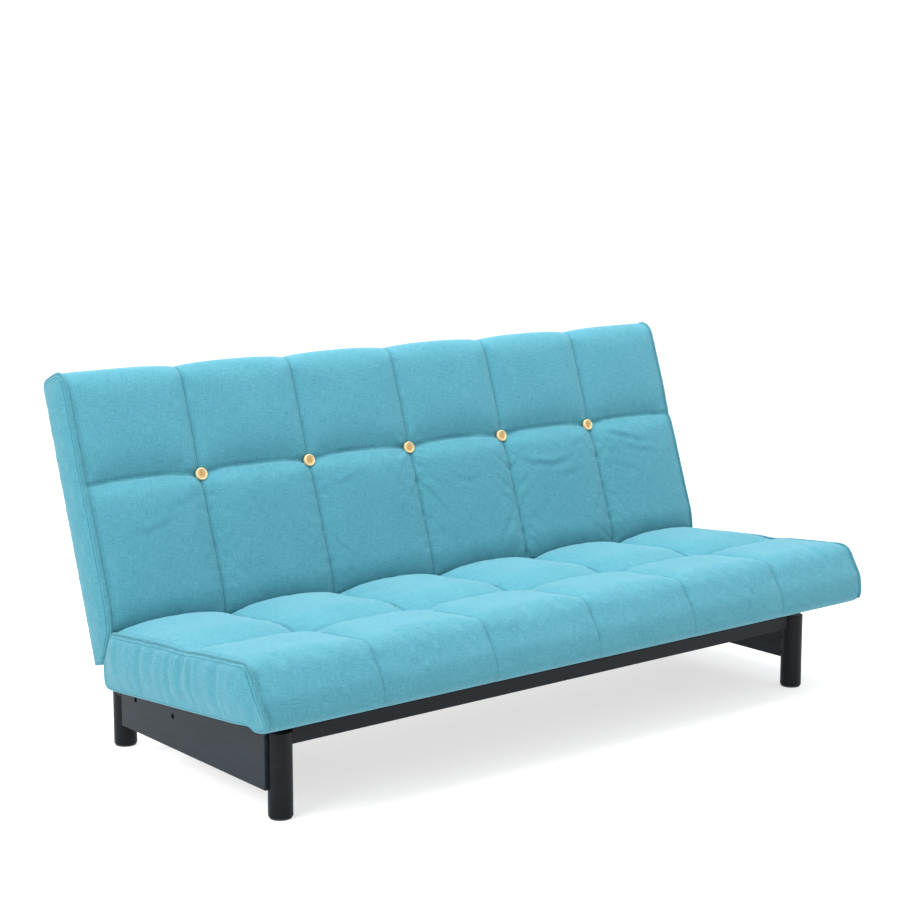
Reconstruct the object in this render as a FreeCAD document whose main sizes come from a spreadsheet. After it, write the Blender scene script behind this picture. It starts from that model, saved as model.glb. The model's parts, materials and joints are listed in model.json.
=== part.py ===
import FreeCAD, Part
import math
import os
import re
from types import SimpleNamespace

import Sketcher

# Futon sofa bed: an upholstered seat and back on a pair of click-clack hinges over a low leg
# frame. Millimetres; +X to the right as seen from the front, +Y to the rear, +Z up. The origin
# is on the floor under the middle of the sofa's box in its sitting pose.
# Each sub-part is built in one of three working frames and then placed:
#   base - floor level, Y counted from the front leg axis
#   seat - Y along the seat's bottom, Z square to it, from its front bottom edge
#   back - Z up the back panel, Y through its thickness, from the hinge axis

Vector = FreeCAD.Vector
Placement = FreeCAD.Placement
Rotation = FreeCAD.Rotation
AXIS_X = Vector(1, 0, 0)
AXIS_Y = Vector(0, 1, 0)
AXIS_Z = Vector(0, 0, 1)
SIDES = {"left": -1, "right": 1}
BEVEL_STEP = 6

DRIVING = {
    # seat cushion
    "panel_width": 2000,
    "seat_depth": 692,
    "seat_thick": 143,
    "seat_front_bulge": 14,
    "seat_top_setback": 36,
    "cushion_gap": 3,
    "seat_front_round": 42,
    "seat_rear_round": 34,
    "seat_bottom_round": 25,
    "seat_tilt": 5,
    "seat_front_y": -135,
    "seat_rest": 223,
    # back cushion
    "back_height": 752,
    "back_thick": 114,
    "back_foot": 19,
    "back_foot_width": 34,
    "back_bevel_top": 90,
    "back_top_round": 38,
    "back_rear_drop": 30,
    "back_recline": 19,
    "rear_face": 2,
    "end_round": 12,
    "soft_gap": 0.3,
    # leg frame
    "leg_dia": 58,
    "leg_behind": 8,
    "front_leg_height": 205,
    "rear_leg_height": 185,
    "glide_thick": 4,
    "glide_inset": 3,
    "leg_flat": 1,
    "side_overhang": 101,
    "board_thick": 20,
    "board_proud": 9,
    "board_front": 6,
    "board_low": 68,
    "board_front_top": 205,
    "board_rear_top": 182,
    "edge_round": 2,
    "rail_thick": 20,
    "rail_low": 169,
    "rear_rail_thick": 22,
    "rear_rail_low": 143,
    "rear_rail_top": 181,
    "pad_thick": 3,
    "pad_length": 60,
    "rest_gap": 0.6,
    # click-clack hinge
    "pivot_ahead": 290,
    "pivot_z": 150,
    "bolt_pitch": 176,
    "link_length": 131.5,
    "link_angle": 13.2,
    "link_half": 15,
    "link_thick": 5,
    "arm_thick": 5,
    "arm_half": 12,
    "plate_thick": 4,
    "plate_half": 18,
    "plane_gap": 1,
    "hinge_behind": 33,
    "hinge_above": 32.3,
    "seat_hub": 16,
    "hinge_hub": 18,
    "pawl_hub": 10,
    "ratchet_radius": 26,
    "notch_radius": 4.6,
    "nose_radius": 4,
    "knee_radius": 5,
    "knee_reach": 11,
    "pawl_lift": 5,
    "pawl_pivot_reach": 51,
    "pawl_pivot_angle": 73.7,
    "pawl_nose_angle": 30,
    "relax_angle": 25,
    "flat_angle": 76,
    "pin_radius": 5,
    "hinge_pin": 6,
    "pawl_pin": 4,
    "bush_radius": 7.5,
    "run_gap": 0.05,
    "bolt_hole": 6.5,
    "bolt_recess": 10,
    "bolt_head": 6,
    "nut_radius": 8,
    "head_thick": 5,
    # frames inside the cushions
    "tube_side": 25,
    "tube_wall": 1.5,
    "deck_thick": 12,
    "deck_front": 45,
    "deck_clear": 5,
    "front_tube_at": 123,
    "mid_tube_at": 362,
    "tube_setback": 42,
    "arm_reach": 212,
    "arm_bolt_end": 15,
    "arm_bolt_pitch": 70,
    "back_tube_foot": 24,
    "back_tube_set": 5,
    "back_arm_top": 260,
    "recess_clear": 5,
    "recess_drop": 52,
    "recess_ahead": 1,
    "cover_thick": 3,
    "cover_foot": 45,
    "cover_side_gap": 18,
    # buttons
    "button_count": 5,
    "button_pitch": 331,
    "button_drop": 308,
    "button_radius": 16,
    "button_thick": 5,
    "rim_thick": 2.5,
    "thread_hole": 1.3,
    "thread_spread": 3.2,
    "dimple_radius": 19,
    "dimple_depth": 9,
    # fasteners
    "dowel_radius": 4,
    "dowel_length": 60,
    "frame_bolt": 4,
    "frame_head": 6.5,
}

doc = FreeCAD.newDocument("futon_sofa_bed")
sheet = doc.addObject("Spreadsheet::Sheet", "Sizes")
for row, (alias, number) in enumerate(DRIVING.items(), start=1):
    sheet.set(f"A{row}", alias.replace("_", " "))
    sheet.set(f"B{row}", str(number))
    sheet.setAlias(f"B{row}", alias)
doc.recompute()
v = SimpleNamespace(**{alias: float(sheet.get(alias)) for alias in DRIVING})
nodes = {}


def linked(text):
    """Expression text with the sheet's name put before each alias."""
    return re.sub(r"[a-z_]{3,}", lambda word: f"Sizes.{word[0]}", text)


def bind(target, **sizes):
    for prop, text in sizes.items():
        target.setExpression(prop, linked(text))


# ---- places worked out from the driving sizes ----

def polar(reach, degrees):
    return reach * math.cos(math.radians(degrees)), reach * math.sin(math.radians(degrees))


def offset(spot, run):
    return spot[0] + run[0], spot[1] + run[1]


def far_crossing(centre_a, reach_a, centre_b, reach_b):
    """The crossing of two circles that lies further to the rear."""
    dy = centre_b[0] - centre_a[0]
    dz = centre_b[1] - centre_a[1]
    gap = math.hypot(dy, dz)
    along = (reach_a ** 2 - reach_b ** 2 + gap ** 2) / (2 * gap)
    off = math.sqrt(reach_a ** 2 - along ** 2)
    foot = (centre_a[0] + along * dy / gap, centre_a[1] + along * dz / gap)
    return max((foot[0] - side * off * dz / gap, foot[1] + side * off * dy / gap) for side in (1, -1))


leg_radius = v.leg_dia / 2
leg_span = v.seat_depth + v.leg_behind
board_out = v.panel_width / 2 - v.side_overhang
leg_x = board_out - v.board_proud - leg_radius
board_in = board_out - v.board_thick
plate_in = board_in - v.plate_thick
link_in = plate_in - v.plane_gap - v.link_thick
arm_in = link_in - v.plane_gap - v.arm_thick
seat_tube_in = arm_in - v.tube_side
back_tube_in = link_in - v.tube_side
rear_rail_y = leg_span - leg_radius + v.leg_flat - v.rear_rail_thick
rail_half = leg_x - leg_radius + v.leg_flat
tube_low = -v.soft_gap - v.deck_thick - v.tube_side
tube_mid = tube_low + v.tube_side / 2
recess_half = plate_in + v.recess_clear
recess_deep = v.back_tube_set + v.tube_side + v.recess_ahead
recess_top = v.back_height - v.recess_drop
button_height = v.back_height - v.button_drop

seat_front_z = v.seat_rest + v.deck_thick + v.tube_side
seat_frame = Placement(Vector(0, v.seat_front_y, seat_front_z), Rotation(AXIS_X, -v.seat_tilt))
hinge = (v.seat_depth + v.hinge_behind, v.hinge_above)
hinge_place = seat_frame.multVec(Vector(0, *hinge))
back_frame = Placement(hinge_place, Rotation(AXIS_X, -v.back_recline))
pivot = (v.seat_depth - v.pivot_ahead, v.pivot_z)
link_tip = offset(pivot, polar(v.link_length, v.link_angle))
seat_hub_place = seat_frame.inverse().multVec(Vector(0, *link_tip))
seat_hub = (seat_hub_place.y, seat_hub_place.z)

# the seat's rear face runs along the back's bevelled foot, a small gap in front of it
bevel_low = seat_frame.inverse().multVec(back_frame.multVec(Vector(0, -v.back_foot_width, v.back_foot)))
bevel_high = seat_frame.inverse().multVec(
    back_frame.multVec(Vector(0, BEVEL_STEP - v.back_thick, v.back_bevel_top)))
bevel_run = (bevel_high - bevel_low).normalize()
rear_start = bevel_low - Vector(0, bevel_run.z, -bevel_run.y) * v.cushion_gap


def rear_face_height(y):
    return rear_start.z + (y - rear_start.y) * bevel_run.z / bevel_run.y


def rear_face_depth(z):
    return rear_start.y + (z - rear_start.z) * bevel_run.y / bevel_run.z


# the front rail's pads stop just short of the seat's front tube
tube_corner = seat_frame.multVec(Vector(0, v.front_tube_at + v.tube_side, tube_low))
pad_low = tube_corner.z - v.rest_gap - v.pad_thick

# each pawl pivots under the hinge, with its nose behind the ratchet, lifted clear of the rim
pawl_pivot = offset(hinge, polar(v.pawl_pivot_reach, -v.pawl_pivot_angle))
nose_reach = v.ratchet_radius + v.pawl_lift
pawl_nose = offset(hinge, polar(nose_reach, -v.pawl_nose_angle))
pawl_knee = offset(hinge, polar(nose_reach + v.knee_reach, -v.pawl_nose_angle))
dropped_nose = far_crossing(hinge, v.ratchet_radius, pawl_pivot, math.dist(pawl_pivot, pawl_nose))
notch_angle = math.degrees(math.atan2(dropped_nose[1] - hinge[1], dropped_nose[0] - hinge[0]))


# ---- building blocks ----

def box(name, corner, length, width, height):
    part = doc.addObject("Part::Box", name)
    bind(part, Length=length, Width=width, Height=height)
    part.Placement.Base = Vector(*corner)
    return part


def rod(name, start, direction, radius, length):
    part = doc.addObject("Part::Cylinder", name)
    bind(part, Radius=radius, Height=length)
    part.Placement = Placement(Vector(*start), Rotation(AXIS_Z, direction))
    return part


def joined(name, parts):
    part = doc.addObject("Part::MultiFuse", name)
    part.Shapes = parts
    return part


def cut(name, base, tools):
    part = doc.addObject("Part::Cut", name)
    part.Base = base
    part.Tool = tools[0] if len(tools) == 1 else joined(name + "_tools", tools)
    return part


def group(name, parts):
    part = doc.addObject("Part::Compound", name)
    part.Links = parts
    return part


def low_x(sign, inner, thick):
    """Lowest X of a plate whose inner face is this far from the middle, on either side."""
    return inner if sign > 0 else -(inner + thick)


def bar(name, start, end, half_width, thick, x_low):
    """Flat bar with round ends between two points of the YZ plane; its sizes are aliases."""
    half = getattr(v, half_width)
    turn = Rotation(AXIS_X, math.degrees(math.atan2(end[1] - start[1], end[0] - start[0])))
    strip = doc.addObject("Part::Box", name + "_strip")
    bind(strip, Length=thick, Height=f"2*{half_width}")
    strip.Width = math.dist(start, end)
    strip.Placement = Placement(Vector(x_low, *start) + turn.multVec(Vector(0, 0, -half)), turn)
    ends = [rod(f"{name}_end{i}", (x_low, *spot), AXIS_X, half_width, thick)
            for i, spot in enumerate((start, end))]
    return [strip] + ends


def bolt(name, start, direction, radius, length, head_radius, head_thick):
    """Shank from start along direction, with its head on the far side of start."""
    head_start = Vector(*start) - direction * getattr(v, head_thick)
    head = rod(name + "_head", head_start, direction, head_radius, head_thick)
    return joined(name, [head, rod(name + "_shank", start, direction, radius, length)])


def origin_plane(body, role):
    return next(item for item in body.Origin.OriginFeatures if item.Role == role)


def sketch_on(body, role, name):
    sketch = body.newObject("Sketcher::SketchObject", name)
    sketch.AttachmentSupport = (origin_plane(body, role), "")
    sketch.MapMode = "FlatFace"
    return sketch


def hold(sketch, kind, *links, size):
    """One dimension of a sketch, tied to the sheet."""
    index = sketch.addConstraint(Sketcher.Constraint(kind, *links, 1.0))
    sketch.setExpression(f"Constraints[{index}]", linked(size))


def outline(sketch, points):
    """Closed straight outline through rough points; returns its first line."""
    first = sketch.GeometryCount
    count = len(points)
    for i, point in enumerate(points):
        sketch.addGeometry(Part.LineSegment(Vector(*point), Vector(*points[(i + 1) % count])), False)
    for i in range(count):
        sketch.addConstraint(Sketcher.Constraint("Coincident", first + i, 2, first + (i + 1) % count, 1))
    return first


def rectangle(sketch, width, height, inset=None):
    """Rectangle from the sketch's origin, or set in from that corner; sizes as expression text."""
    wide, high = 40, 30
    shift = 5 if inset else 0
    first = outline(sketch, [(shift, shift, 0), (wide, shift, 0), (wide, high, 0), (shift, high, 0)])
    for line, direction in enumerate(("Horizontal", "Vertical", "Horizontal", "Vertical")):
        sketch.addConstraint(Sketcher.Constraint(direction, first + line))
    hold(sketch, "DistanceX", first, 1, first, 2, size=width)
    hold(sketch, "DistanceY", first + 1, 1, first + 1, 2, size=height)
    if inset:
        hold(sketch, "DistanceX", -1, 1, first, 1, size=inset)
        hold(sketch, "DistanceY", -1, 1, first, 1, size=inset)
    else:
        sketch.addConstraint(Sketcher.Constraint("Coincident", first, 1, -1, 1))


def pad(body, sketch, length, reversed_way=False):
    feature = body.newObject("PartDesign::Pad", sketch.Name + "_pad")
    feature.Profile = sketch
    feature.Reversed = reversed_way
    bind(feature, Length=length)
    doc.recompute()
    return feature


def soften(body, base, radius, along=None):
    """Rounds the edges of a padded blank: all of them, or the straight ones along one axis."""
    picked = []
    for i, edge in enumerate(base.Shape.Edges, start=1):
        run = edge.Vertexes[-1].Point - edge.Vertexes[0].Point
        if along is None or run.cross(along).Length < 1e-6:
            picked.append(f"Edge{i}")
    feature = body.newObject("PartDesign::Fillet", base.Name + "_fillet")
    feature.Base = (base, picked)
    bind(feature, Radius=radius)
    return feature


PAD_PLANES = {"X": "YZ_Plane", "Y": "XZ_Plane", "Z": "XY_Plane"}


def bar_stock(name, axis, width, height, length, corner, radius=None, wall=None):
    """Straight bar or square tube along an axis, from its lowest corner."""
    body = doc.addObject("PartDesign::Body", name)
    sketch = sketch_on(body, PAD_PLANES[axis], name + "_section")
    rectangle(sketch, width, height)
    if wall:
        rectangle(sketch, f"{width}-2*{wall}", f"{height}-2*{wall}", inset=wall)
    blank = pad(body, sketch, length, reversed_way=axis == "Y")
    if radius:
        soften(body, blank, radius)
    body.Placement.Base = Vector(*corner)
    return body


def tube(name, axis, length, corner):
    return bar_stock(name, axis, "tube_side", "tube_side", length, corner, wall="tube_wall")


def put(label, part, frame):
    """Names a finished sub-part and moves it from its working frame into the row's frame."""
    part.Label = label
    part.Placement = frame.multiply(part.Placement)
    nodes[label] = part


def rounded_face(points):
    """Face in the YZ plane through corners (y, z, radius), each rounded by a tangent arc."""
    corners = []
    count = len(points)
    for i, (y, z, radius) in enumerate(points):
        here = Vector(0, y, z)
        before = Vector(0, *points[i - 1][:2]) - here
        after = Vector(0, *points[(i + 1) % count][:2]) - here
        half = before.getAngle(after) / 2
        before.normalize()
        after.normalize()
        reach = radius / math.tan(half)
        middle = before + after
        middle.normalize()
        apex = here + middle * (radius / math.sin(half) - radius)
        corners.append((here + before * reach, apex, here + after * reach))
    edges = []
    for i, (start, apex, end) in enumerate(corners):
        edges.append(Part.Arc(start, apex, end).toShape())
        edges.append(Part.LineSegment(end, corners[(i + 1) % count][0]).toShape())
    return Part.Face(Part.Wire(edges))


def cushion_block(points, end_round):
    """Full-width soft block from its side outline, with rounded ends."""
    half = v.panel_width / 2
    block = rounded_face(points).extrude(AXIS_X * v.panel_width)
    block.translate(AXIS_X * -half)
    rims = [edge for edge in block.Edges if edge.BoundBox.XLength < 1e-6]
    return block.makeFillet(end_round, rims)


# ---- cushions ----

def seat_cushion_shape():
    top = v.seat_thick
    return cushion_block([
        (-v.seat_front_bulge, 0, v.seat_bottom_round),
        (v.seat_depth, 0, v.seat_bottom_round),
        (v.seat_depth, rear_face_height(v.seat_depth), v.seat_bottom_round),
        (rear_face_depth(top), top, v.seat_rear_round),
        (v.seat_top_setback, top, v.seat_front_round),
    ], v.end_round)


def button_spots():
    first = -(v.button_count - 1) / 2
    return [(first + i) * v.button_pitch for i in range(int(v.button_count))]


def back_cushion_shape():
    """Wedge-footed panel, hollowed from the rear for the back frame, with a dimple per button."""
    front = -v.back_thick
    block = cushion_block([
        (v.rear_face, v.back_foot, 4),
        (-v.back_foot_width, v.back_foot, 6),
        (front + BEVEL_STEP, v.back_bevel_top, v.seat_bottom_round),
        (front, v.back_bevel_top + 60, v.seat_bottom_round),
        (front, v.back_height, v.back_top_round),
        (-6, v.back_height - v.back_rear_drop, 14),
    ], v.end_round)
    hollow_low = v.back_foot - v.end_round
    hollow = Part.makeBox(2 * recess_half, recess_deep + v.rear_face + 1, recess_top - hollow_low,
                          Vector(-recess_half, -recess_deep, hollow_low))
    for x in button_spots():
        dimple = Part.makeCylinder(v.dimple_radius, v.dimple_depth, Vector(x, front, button_height), AXIS_Y)
        block = block.cut(dimple)
    return block.cut(hollow)


def soft_part(label, shape, frame):
    part = doc.addObject("Part::Feature", label)
    part.Shape = shape
    part.Label = label
    part.Placement = frame
    nodes[label] = part


BASE = Placement()
SEAT = seat_frame
BACK = back_frame

soft_part("seat_cushion", seat_cushion_shape(), SEAT)
soft_part("back_cushion", back_cushion_shape(), BACK)


# ---- leg frame ----

def leg(label, sign, y, height_alias):
    """Round leg on a glide, with the seats and holes that its neighbours need."""
    body = doc.addObject("PartDesign::Body", label + "_blank")
    sketch = sketch_on(body, "XY_Plane", label + "_round")
    sketch.addGeometry(Part.Circle(Vector(0, 0, 0), AXIS_Z, 10), False)
    sketch.addConstraint(Sketcher.Constraint("Coincident", 0, 3, -1, 1))
    hold(sketch, "Radius", 0, size="leg_dia/2")
    blank = pad(body, sketch, f"{height_alias}-glide_thick")
    soften(body, blank, "edge_round")
    body.Placement.Base = Vector(sign * leg_x, y, v.glide_thick)
    tools = front_leg_cuts(label, sign) if y == 0 else rear_leg_cuts(label, sign)
    put(label, cut(label, body, tools), BASE)


LEG_BOLT_HEIGHTS = {"low": 100, "high": 145}
REAR_BOLT_HEIGHTS = {"low": 153, "high": 170}
leg_bolt_y = v.board_front + 9
BORE_START = 99
bore_from = board_out - BORE_START
leg_bolt_head = leg_x - math.sqrt(leg_radius ** 2 - leg_bolt_y ** 2) + 2 * v.head_thick
rear_bolt_head = leg_span + leg_radius - 2 * v.head_thick
screw_x = board_in + v.board_thick / 2


def front_leg_cuts(label, sign):
    inner = low_x(sign, board_in, v.board_thick)
    tools = [box(label + "_rebate", (inner, v.board_front, v.board_low),
                 "board_thick", "leg_dia", "front_leg_height")]
    flat_x = low_x(sign, rail_half - v.rail_thick, v.rail_thick)
    tools.append(box(label + "_flat", (flat_x, -v.rail_thick / 2, v.rail_low),
                     "rail_thick", "rail_thick", "front_leg_height"))
    tools += dowel_rods(label, sign, "dowel_radius+run_gap", v.dowel_length / 2 + 0.5)
    for level, z in LEG_BOLT_HEIGHTS.items():
        tools.append(rod(f"{label}_bolt_{level}", (sign * bore_from, leg_bolt_y, z), AXIS_X * sign,
                         "frame_bolt+run_gap", f"{BORE_START}"))
        tools.append(rod(f"{label}_counterbore_{level}", (sign * bore_from, leg_bolt_y, z), AXIS_X * sign,
                         "frame_head+1", f"{leg_bolt_head - bore_from}"))
    return tools


def rear_leg_cuts(label, sign):
    flat_y = rear_rail_y - v.leg_dia
    tools = [box(label + "_flat", (sign * leg_x - leg_radius, flat_y, v.rear_rail_low),
                 "leg_dia", "leg_dia+rear_rail_thick", "rear_leg_height")]
    for level, z in REAR_BOLT_HEIGHTS.items():
        tools.append(rod(f"{label}_bolt_{level}", (sign * leg_x, rear_rail_y, z), AXIS_Y,
                         "frame_bolt+run_gap", "2*leg_dia"))
        tools.append(rod(f"{label}_counterbore_{level}", (sign * leg_x, rear_bolt_head, z), AXIS_Y,
                         "frame_head+1", "leg_dia"))
    return tools


DOWEL_OFFSET = 9
rail_mid = (v.rail_low + pad_low) / 2


def dowel_rods(label, sign, radius, reach):
    """Two dowels or dowel holes across a joint between the front rail and a leg."""
    start_x = sign * (rail_half - reach)
    return [rod(f"{label}_dowel{i}", (start_x, 0, rail_mid + step * DOWEL_OFFSET), AXIS_X * sign,
                radius, f"{2 * reach}")
            for i, step in enumerate((-1, 1))]


for side, sign in SIDES.items():
    leg(f"front_leg_{side}", sign, 0, "front_leg_height")
    leg(f"rear_leg_{side}", sign, leg_span, "rear_leg_height")

put("leg_glides", group("glide_set", [
    rod(f"glide_{side}_{i}", (sign * leg_x, y, 0), AXIS_Z, "leg_dia/2-glide_inset", "glide_thick")
    for side, sign in SIDES.items() for i, y in enumerate((0, leg_span))]), BASE)


def side_board(label, sign):
    """Board between the legs; its top falls to the rear, under the tilted seat."""
    body = doc.addObject("PartDesign::Body", label + "_blank")
    sketch = sketch_on(body, "YZ_Plane", label + "_outline")
    first = outline(sketch, [(0, 0, 0), (60, 0, 0), (60, 20, 0), (0, 30, 0)])
    sketch.addConstraint(Sketcher.Constraint("Coincident", first, 1, -1, 1))
    sketch.addConstraint(Sketcher.Constraint("Horizontal", first))
    sketch.addConstraint(Sketcher.Constraint("Vertical", first + 1))
    sketch.addConstraint(Sketcher.Constraint("Vertical", first + 3))
    hold(sketch, "DistanceX", first, 1, first, 2,
         size="seat_depth+leg_behind-leg_dia/2+leg_flat-rear_rail_thick-board_front")
    hold(sketch, "DistanceY", first + 1, 1, first + 1, 2, size="board_rear_top-board_low")
    hold(sketch, "DistanceY", first + 3, 2, first + 3, 1, size="board_front_top-board_low")
    blank = pad(body, sketch, "board_thick")
    soften(body, blank, "edge_round")
    body.Placement.Base = Vector(low_x(sign, board_in, v.board_thick), v.board_front, v.board_low)
    tools = []
    for i, y in enumerate((pivot[0], pivot[0] + v.bolt_pitch)):
        start = (sign * board_in, y, v.pivot_z)
        tools.append(rod(f"{label}_hole{i}", start, AXIS_X * sign, "pin_radius+run_gap", "board_thick"))
        start = (sign * (board_out - v.bolt_recess), y, v.pivot_z)
        tools.append(rod(f"{label}_recess{i}", start, AXIS_X * sign, "bolt_hole", "board_thick"))
    for level, z in LEG_BOLT_HEIGHTS.items():
        tools.append(rod(f"{label}_insert_{level}", (sign * board_in, leg_bolt_y, z), AXIS_X * sign,
                         "frame_bolt+run_gap", "board_thick-6"))
    tools += [rod(f"{label}_screw{i}", (sign * screw_x, rear_rail_y - 40, z), AXIS_Y,
                  "frame_bolt/2+run_gap", "60") for i, z in enumerate(REAR_BOLT_HEIGHTS.values())]
    put(label, cut(label, body, tools), BASE)


for side, sign in SIDES.items():
    side_board(f"side_board_{side}", sign)

front_rail = bar_stock("front_rail_blank", "X", "rail_thick", f"{pad_low}-rail_low",
                       f"2*{rail_half}", (-rail_half, -v.rail_thick / 2, v.rail_low), radius="edge_round")
rail_holes = [hole for side, sign in SIDES.items()
              for hole in dowel_rods(f"rail_{side}", sign, "dowel_radius+run_gap", v.dowel_length / 2 + 0.5)]
put("front_rail", cut("front_rail", front_rail, rail_holes), BASE)

put("rail_dowels", group("dowel_set", [
    dowel for side, sign in SIDES.items()
    for dowel in dowel_rods(f"pin_{side}", sign, "dowel_radius", v.dowel_length / 2)]), BASE)

rear_rail = bar_stock("rear_rail_blank", "X", "rear_rail_thick", "rear_rail_top-rear_rail_low",
                      "panel_width-2*side_overhang", (-board_out, rear_rail_y, v.rear_rail_low),
                      radius="edge_round")
rear_holes = []
for side, sign in SIDES.items():
    for level, z in REAR_BOLT_HEIGHTS.items():
        rear_holes.append(rod(f"rear_rail_{side}_{level}", (sign * leg_x, rear_rail_y + 4, z), AXIS_Y,
                              "frame_bolt+run_gap", "rear_rail_thick"))
        rear_holes.append(rod(f"rear_rail_screw_{side}_{level}", (sign * screw_x, rear_rail_y, z), AXIS_Y,
                              "frame_bolt/2+run_gap", "rear_rail_thick"))
put("rear_rail", cut("rear_rail", rear_rail, rear_holes), BASE)

PAD_SPOTS = (-500, 0, 500)
put("rail_pads", group("pad_set", [
    box(f"rail_pad{i}", (x - v.pad_length / 2, -v.rail_thick / 2 + v.edge_round, pad_low),
        "pad_length", "rail_thick-2*edge_round", "pad_thick")
    for i, x in enumerate(PAD_SPOTS)]), BASE)

put("front_leg_bolts", group("front_bolt_set", [
    bolt(f"leg_bolt_{side}_{level}", (sign * leg_bolt_head, leg_bolt_y, z), AXIS_X * sign,
         "frame_bolt", f"{board_in + 13}-{leg_bolt_head}", "frame_head", "head_thick")
    for side, sign in SIDES.items() for level, z in LEG_BOLT_HEIGHTS.items()]), BASE)

put("rear_leg_bolts", group("rear_bolt_set", [
    bolt(f"rear_bolt_{side}_{level}", (sign * leg_x, rear_bolt_head, z), AXIS_Y * -1,
         "frame_bolt", f"{rear_bolt_head - rear_rail_y}-5", "frame_head", "head_thick")
    for side, sign in SIDES.items() for level, z in REAR_BOLT_HEIGHTS.items()]), BASE)

put("rear_rail_screws", group("rear_screw_set", [
    bolt(f"rail_screw_{side}_{level}", (sign * screw_x, rear_rail_y + v.rear_rail_thick, z), AXIS_Y * -1,
         "frame_bolt/2", "60", "frame_bolt", "pad_thick")
    for side, sign in SIDES.items() for level, z in REAR_BOLT_HEIGHTS.items()]), BASE)


# ---- click-clack hinges ----

def slotted_plate(name, pitch, half_width, thick, hole_a, hole_b):
    """Round-ended plate along Y with a hole at each end, as one padded sketch."""
    body = doc.addObject("PartDesign::Body", name)
    sketch = sketch_on(body, "YZ_Plane", name + "_outline")
    span, half = getattr(v, pitch), getattr(v, half_width)
    sketch.addGeometry(Part.LineSegment(Vector(0, -half, 0), Vector(span, -half, 0)), False)
    sketch.addGeometry(Part.ArcOfCircle(Part.Circle(Vector(span, 0, 0), AXIS_Z, half),
                                        -math.pi / 2, math.pi / 2), False)
    sketch.addGeometry(Part.LineSegment(Vector(span, half, 0), Vector(0, half, 0)), False)
    sketch.addGeometry(Part.ArcOfCircle(Part.Circle(Vector(0, 0, 0), AXIS_Z, half),
                                        math.pi / 2, 3 * math.pi / 2), False)
    for line, arc in ((0, 1), (2, 3)):
        sketch.addConstraint(Sketcher.Constraint("Tangent", line, 2, arc, 1))
        sketch.addConstraint(Sketcher.Constraint("Tangent", arc, 2, (line + 2) % 4, 1))
    sketch.addConstraint(Sketcher.Constraint("Coincident", 3, 3, -1, 1))
    sketch.addConstraint(Sketcher.Constraint("Horizontal", 0))
    sketch.addConstraint(Sketcher.Constraint("Equal", 1, 3))
    hold(sketch, "Radius", 1, size=half_width)
    hold(sketch, "DistanceX", 3, 3, 1, 3, size=pitch)
    for centre, (arc, radius) in enumerate(((3, hole_a), (1, hole_b))):
        sketch.addGeometry(Part.Circle(Vector(centre * span, 0, 0), AXIS_Z, half / 2), False)
        sketch.addConstraint(Sketcher.Constraint("Coincident", 4 + centre, 3, arc, 3))
        hold(sketch, "Radius", 4 + centre, size=radius)
    pad(body, sketch, thick)
    return body


NECK_TOP = 60


def ratchet_arm(label, sign):
    """Arm of the back frame: notched disc on the hinge axis and a strap up the side tube."""
    x_low = low_x(sign, link_in, v.arm_thick)
    strap = -v.back_tube_set - v.tube_side / 2
    bend = (strap, NECK_TOP)
    blank = joined(label + "_blank",
                   [rod(label + "_disc", (x_low, 0, 0), AXIS_X, "ratchet_radius", "arm_thick")]
                   + bar(label + "_neck", (0, 0), bend, "arm_half", "arm_thick", x_low)
                   + bar(label + "_strap", bend, (strap, v.back_arm_top), "arm_half", "arm_thick", x_low))
    tools = [rod(label + "_bore", (x_low, 0, 0), AXIS_X, "hinge_pin+run_gap", "arm_thick")]
    world_turn = v.back_recline - v.seat_tilt
    for i, turn in enumerate((0, v.relax_angle, v.flat_angle)):
        notch = polar(v.ratchet_radius, notch_angle + turn + world_turn)
        tools.append(rod(f"{label}_notch{i}", (x_low, *notch), AXIS_X, "notch_radius", "arm_thick"))
    tools += [rod(f"{label}_hole{i}", (x_low, strap, z), AXIS_X, "frame_bolt+run_gap", "arm_thick")
              for i, z in enumerate(ARM_BOLTS)]
    put(label, cut(label, blank, tools), BACK)


ARM_BOLTS = (130, 230)
arm_start = v.seat_depth - v.arm_reach
first_bolt = arm_start + v.arm_bolt_end
SEAT_BOLTS = (first_bolt, first_bolt + v.arm_bolt_pitch)
arm_corner = (v.seat_depth + 13, tube_mid + 4)


def seat_arm(label, sign):
    """Arm under the seat's side tube that carries the link, the hinge and the pawl."""
    x_low = low_x(sign, arm_in, v.arm_thick)
    blank = joined(label + "_blank",
                   bar(label + "_tail", (arm_start, tube_mid), arm_corner, "arm_half", "arm_thick", x_low)
                   + bar(label + "_rise", arm_corner, hinge, "arm_half", "arm_thick", x_low)
                   + bar(label + "_heel", arm_corner, pawl_pivot, "pawl_hub", "arm_thick", x_low)
                   + [rod(label + "_link_hub", (x_low, *seat_hub), AXIS_X, "seat_hub", "arm_thick"),
                      rod(label + "_hinge_hub", (x_low, *hinge), AXIS_X, "hinge_hub", "arm_thick")])
    holes = [("link", seat_hub, "pin_radius+run_gap"), ("hinge", hinge, "hinge_pin+run_gap"),
             ("pawl", pawl_pivot, "pawl_pin+run_gap")]
    holes += [(f"bolt{i}", (y, tube_mid), "frame_bolt+run_gap") for i, y in enumerate(SEAT_BOLTS)]
    tools = [rod(f"{label}_{name}_hole", (x_low, *spot), AXIS_X, radius, "arm_thick")
             for name, spot, radius in holes]
    put(label, cut(label, blank, tools), SEAT)


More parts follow.
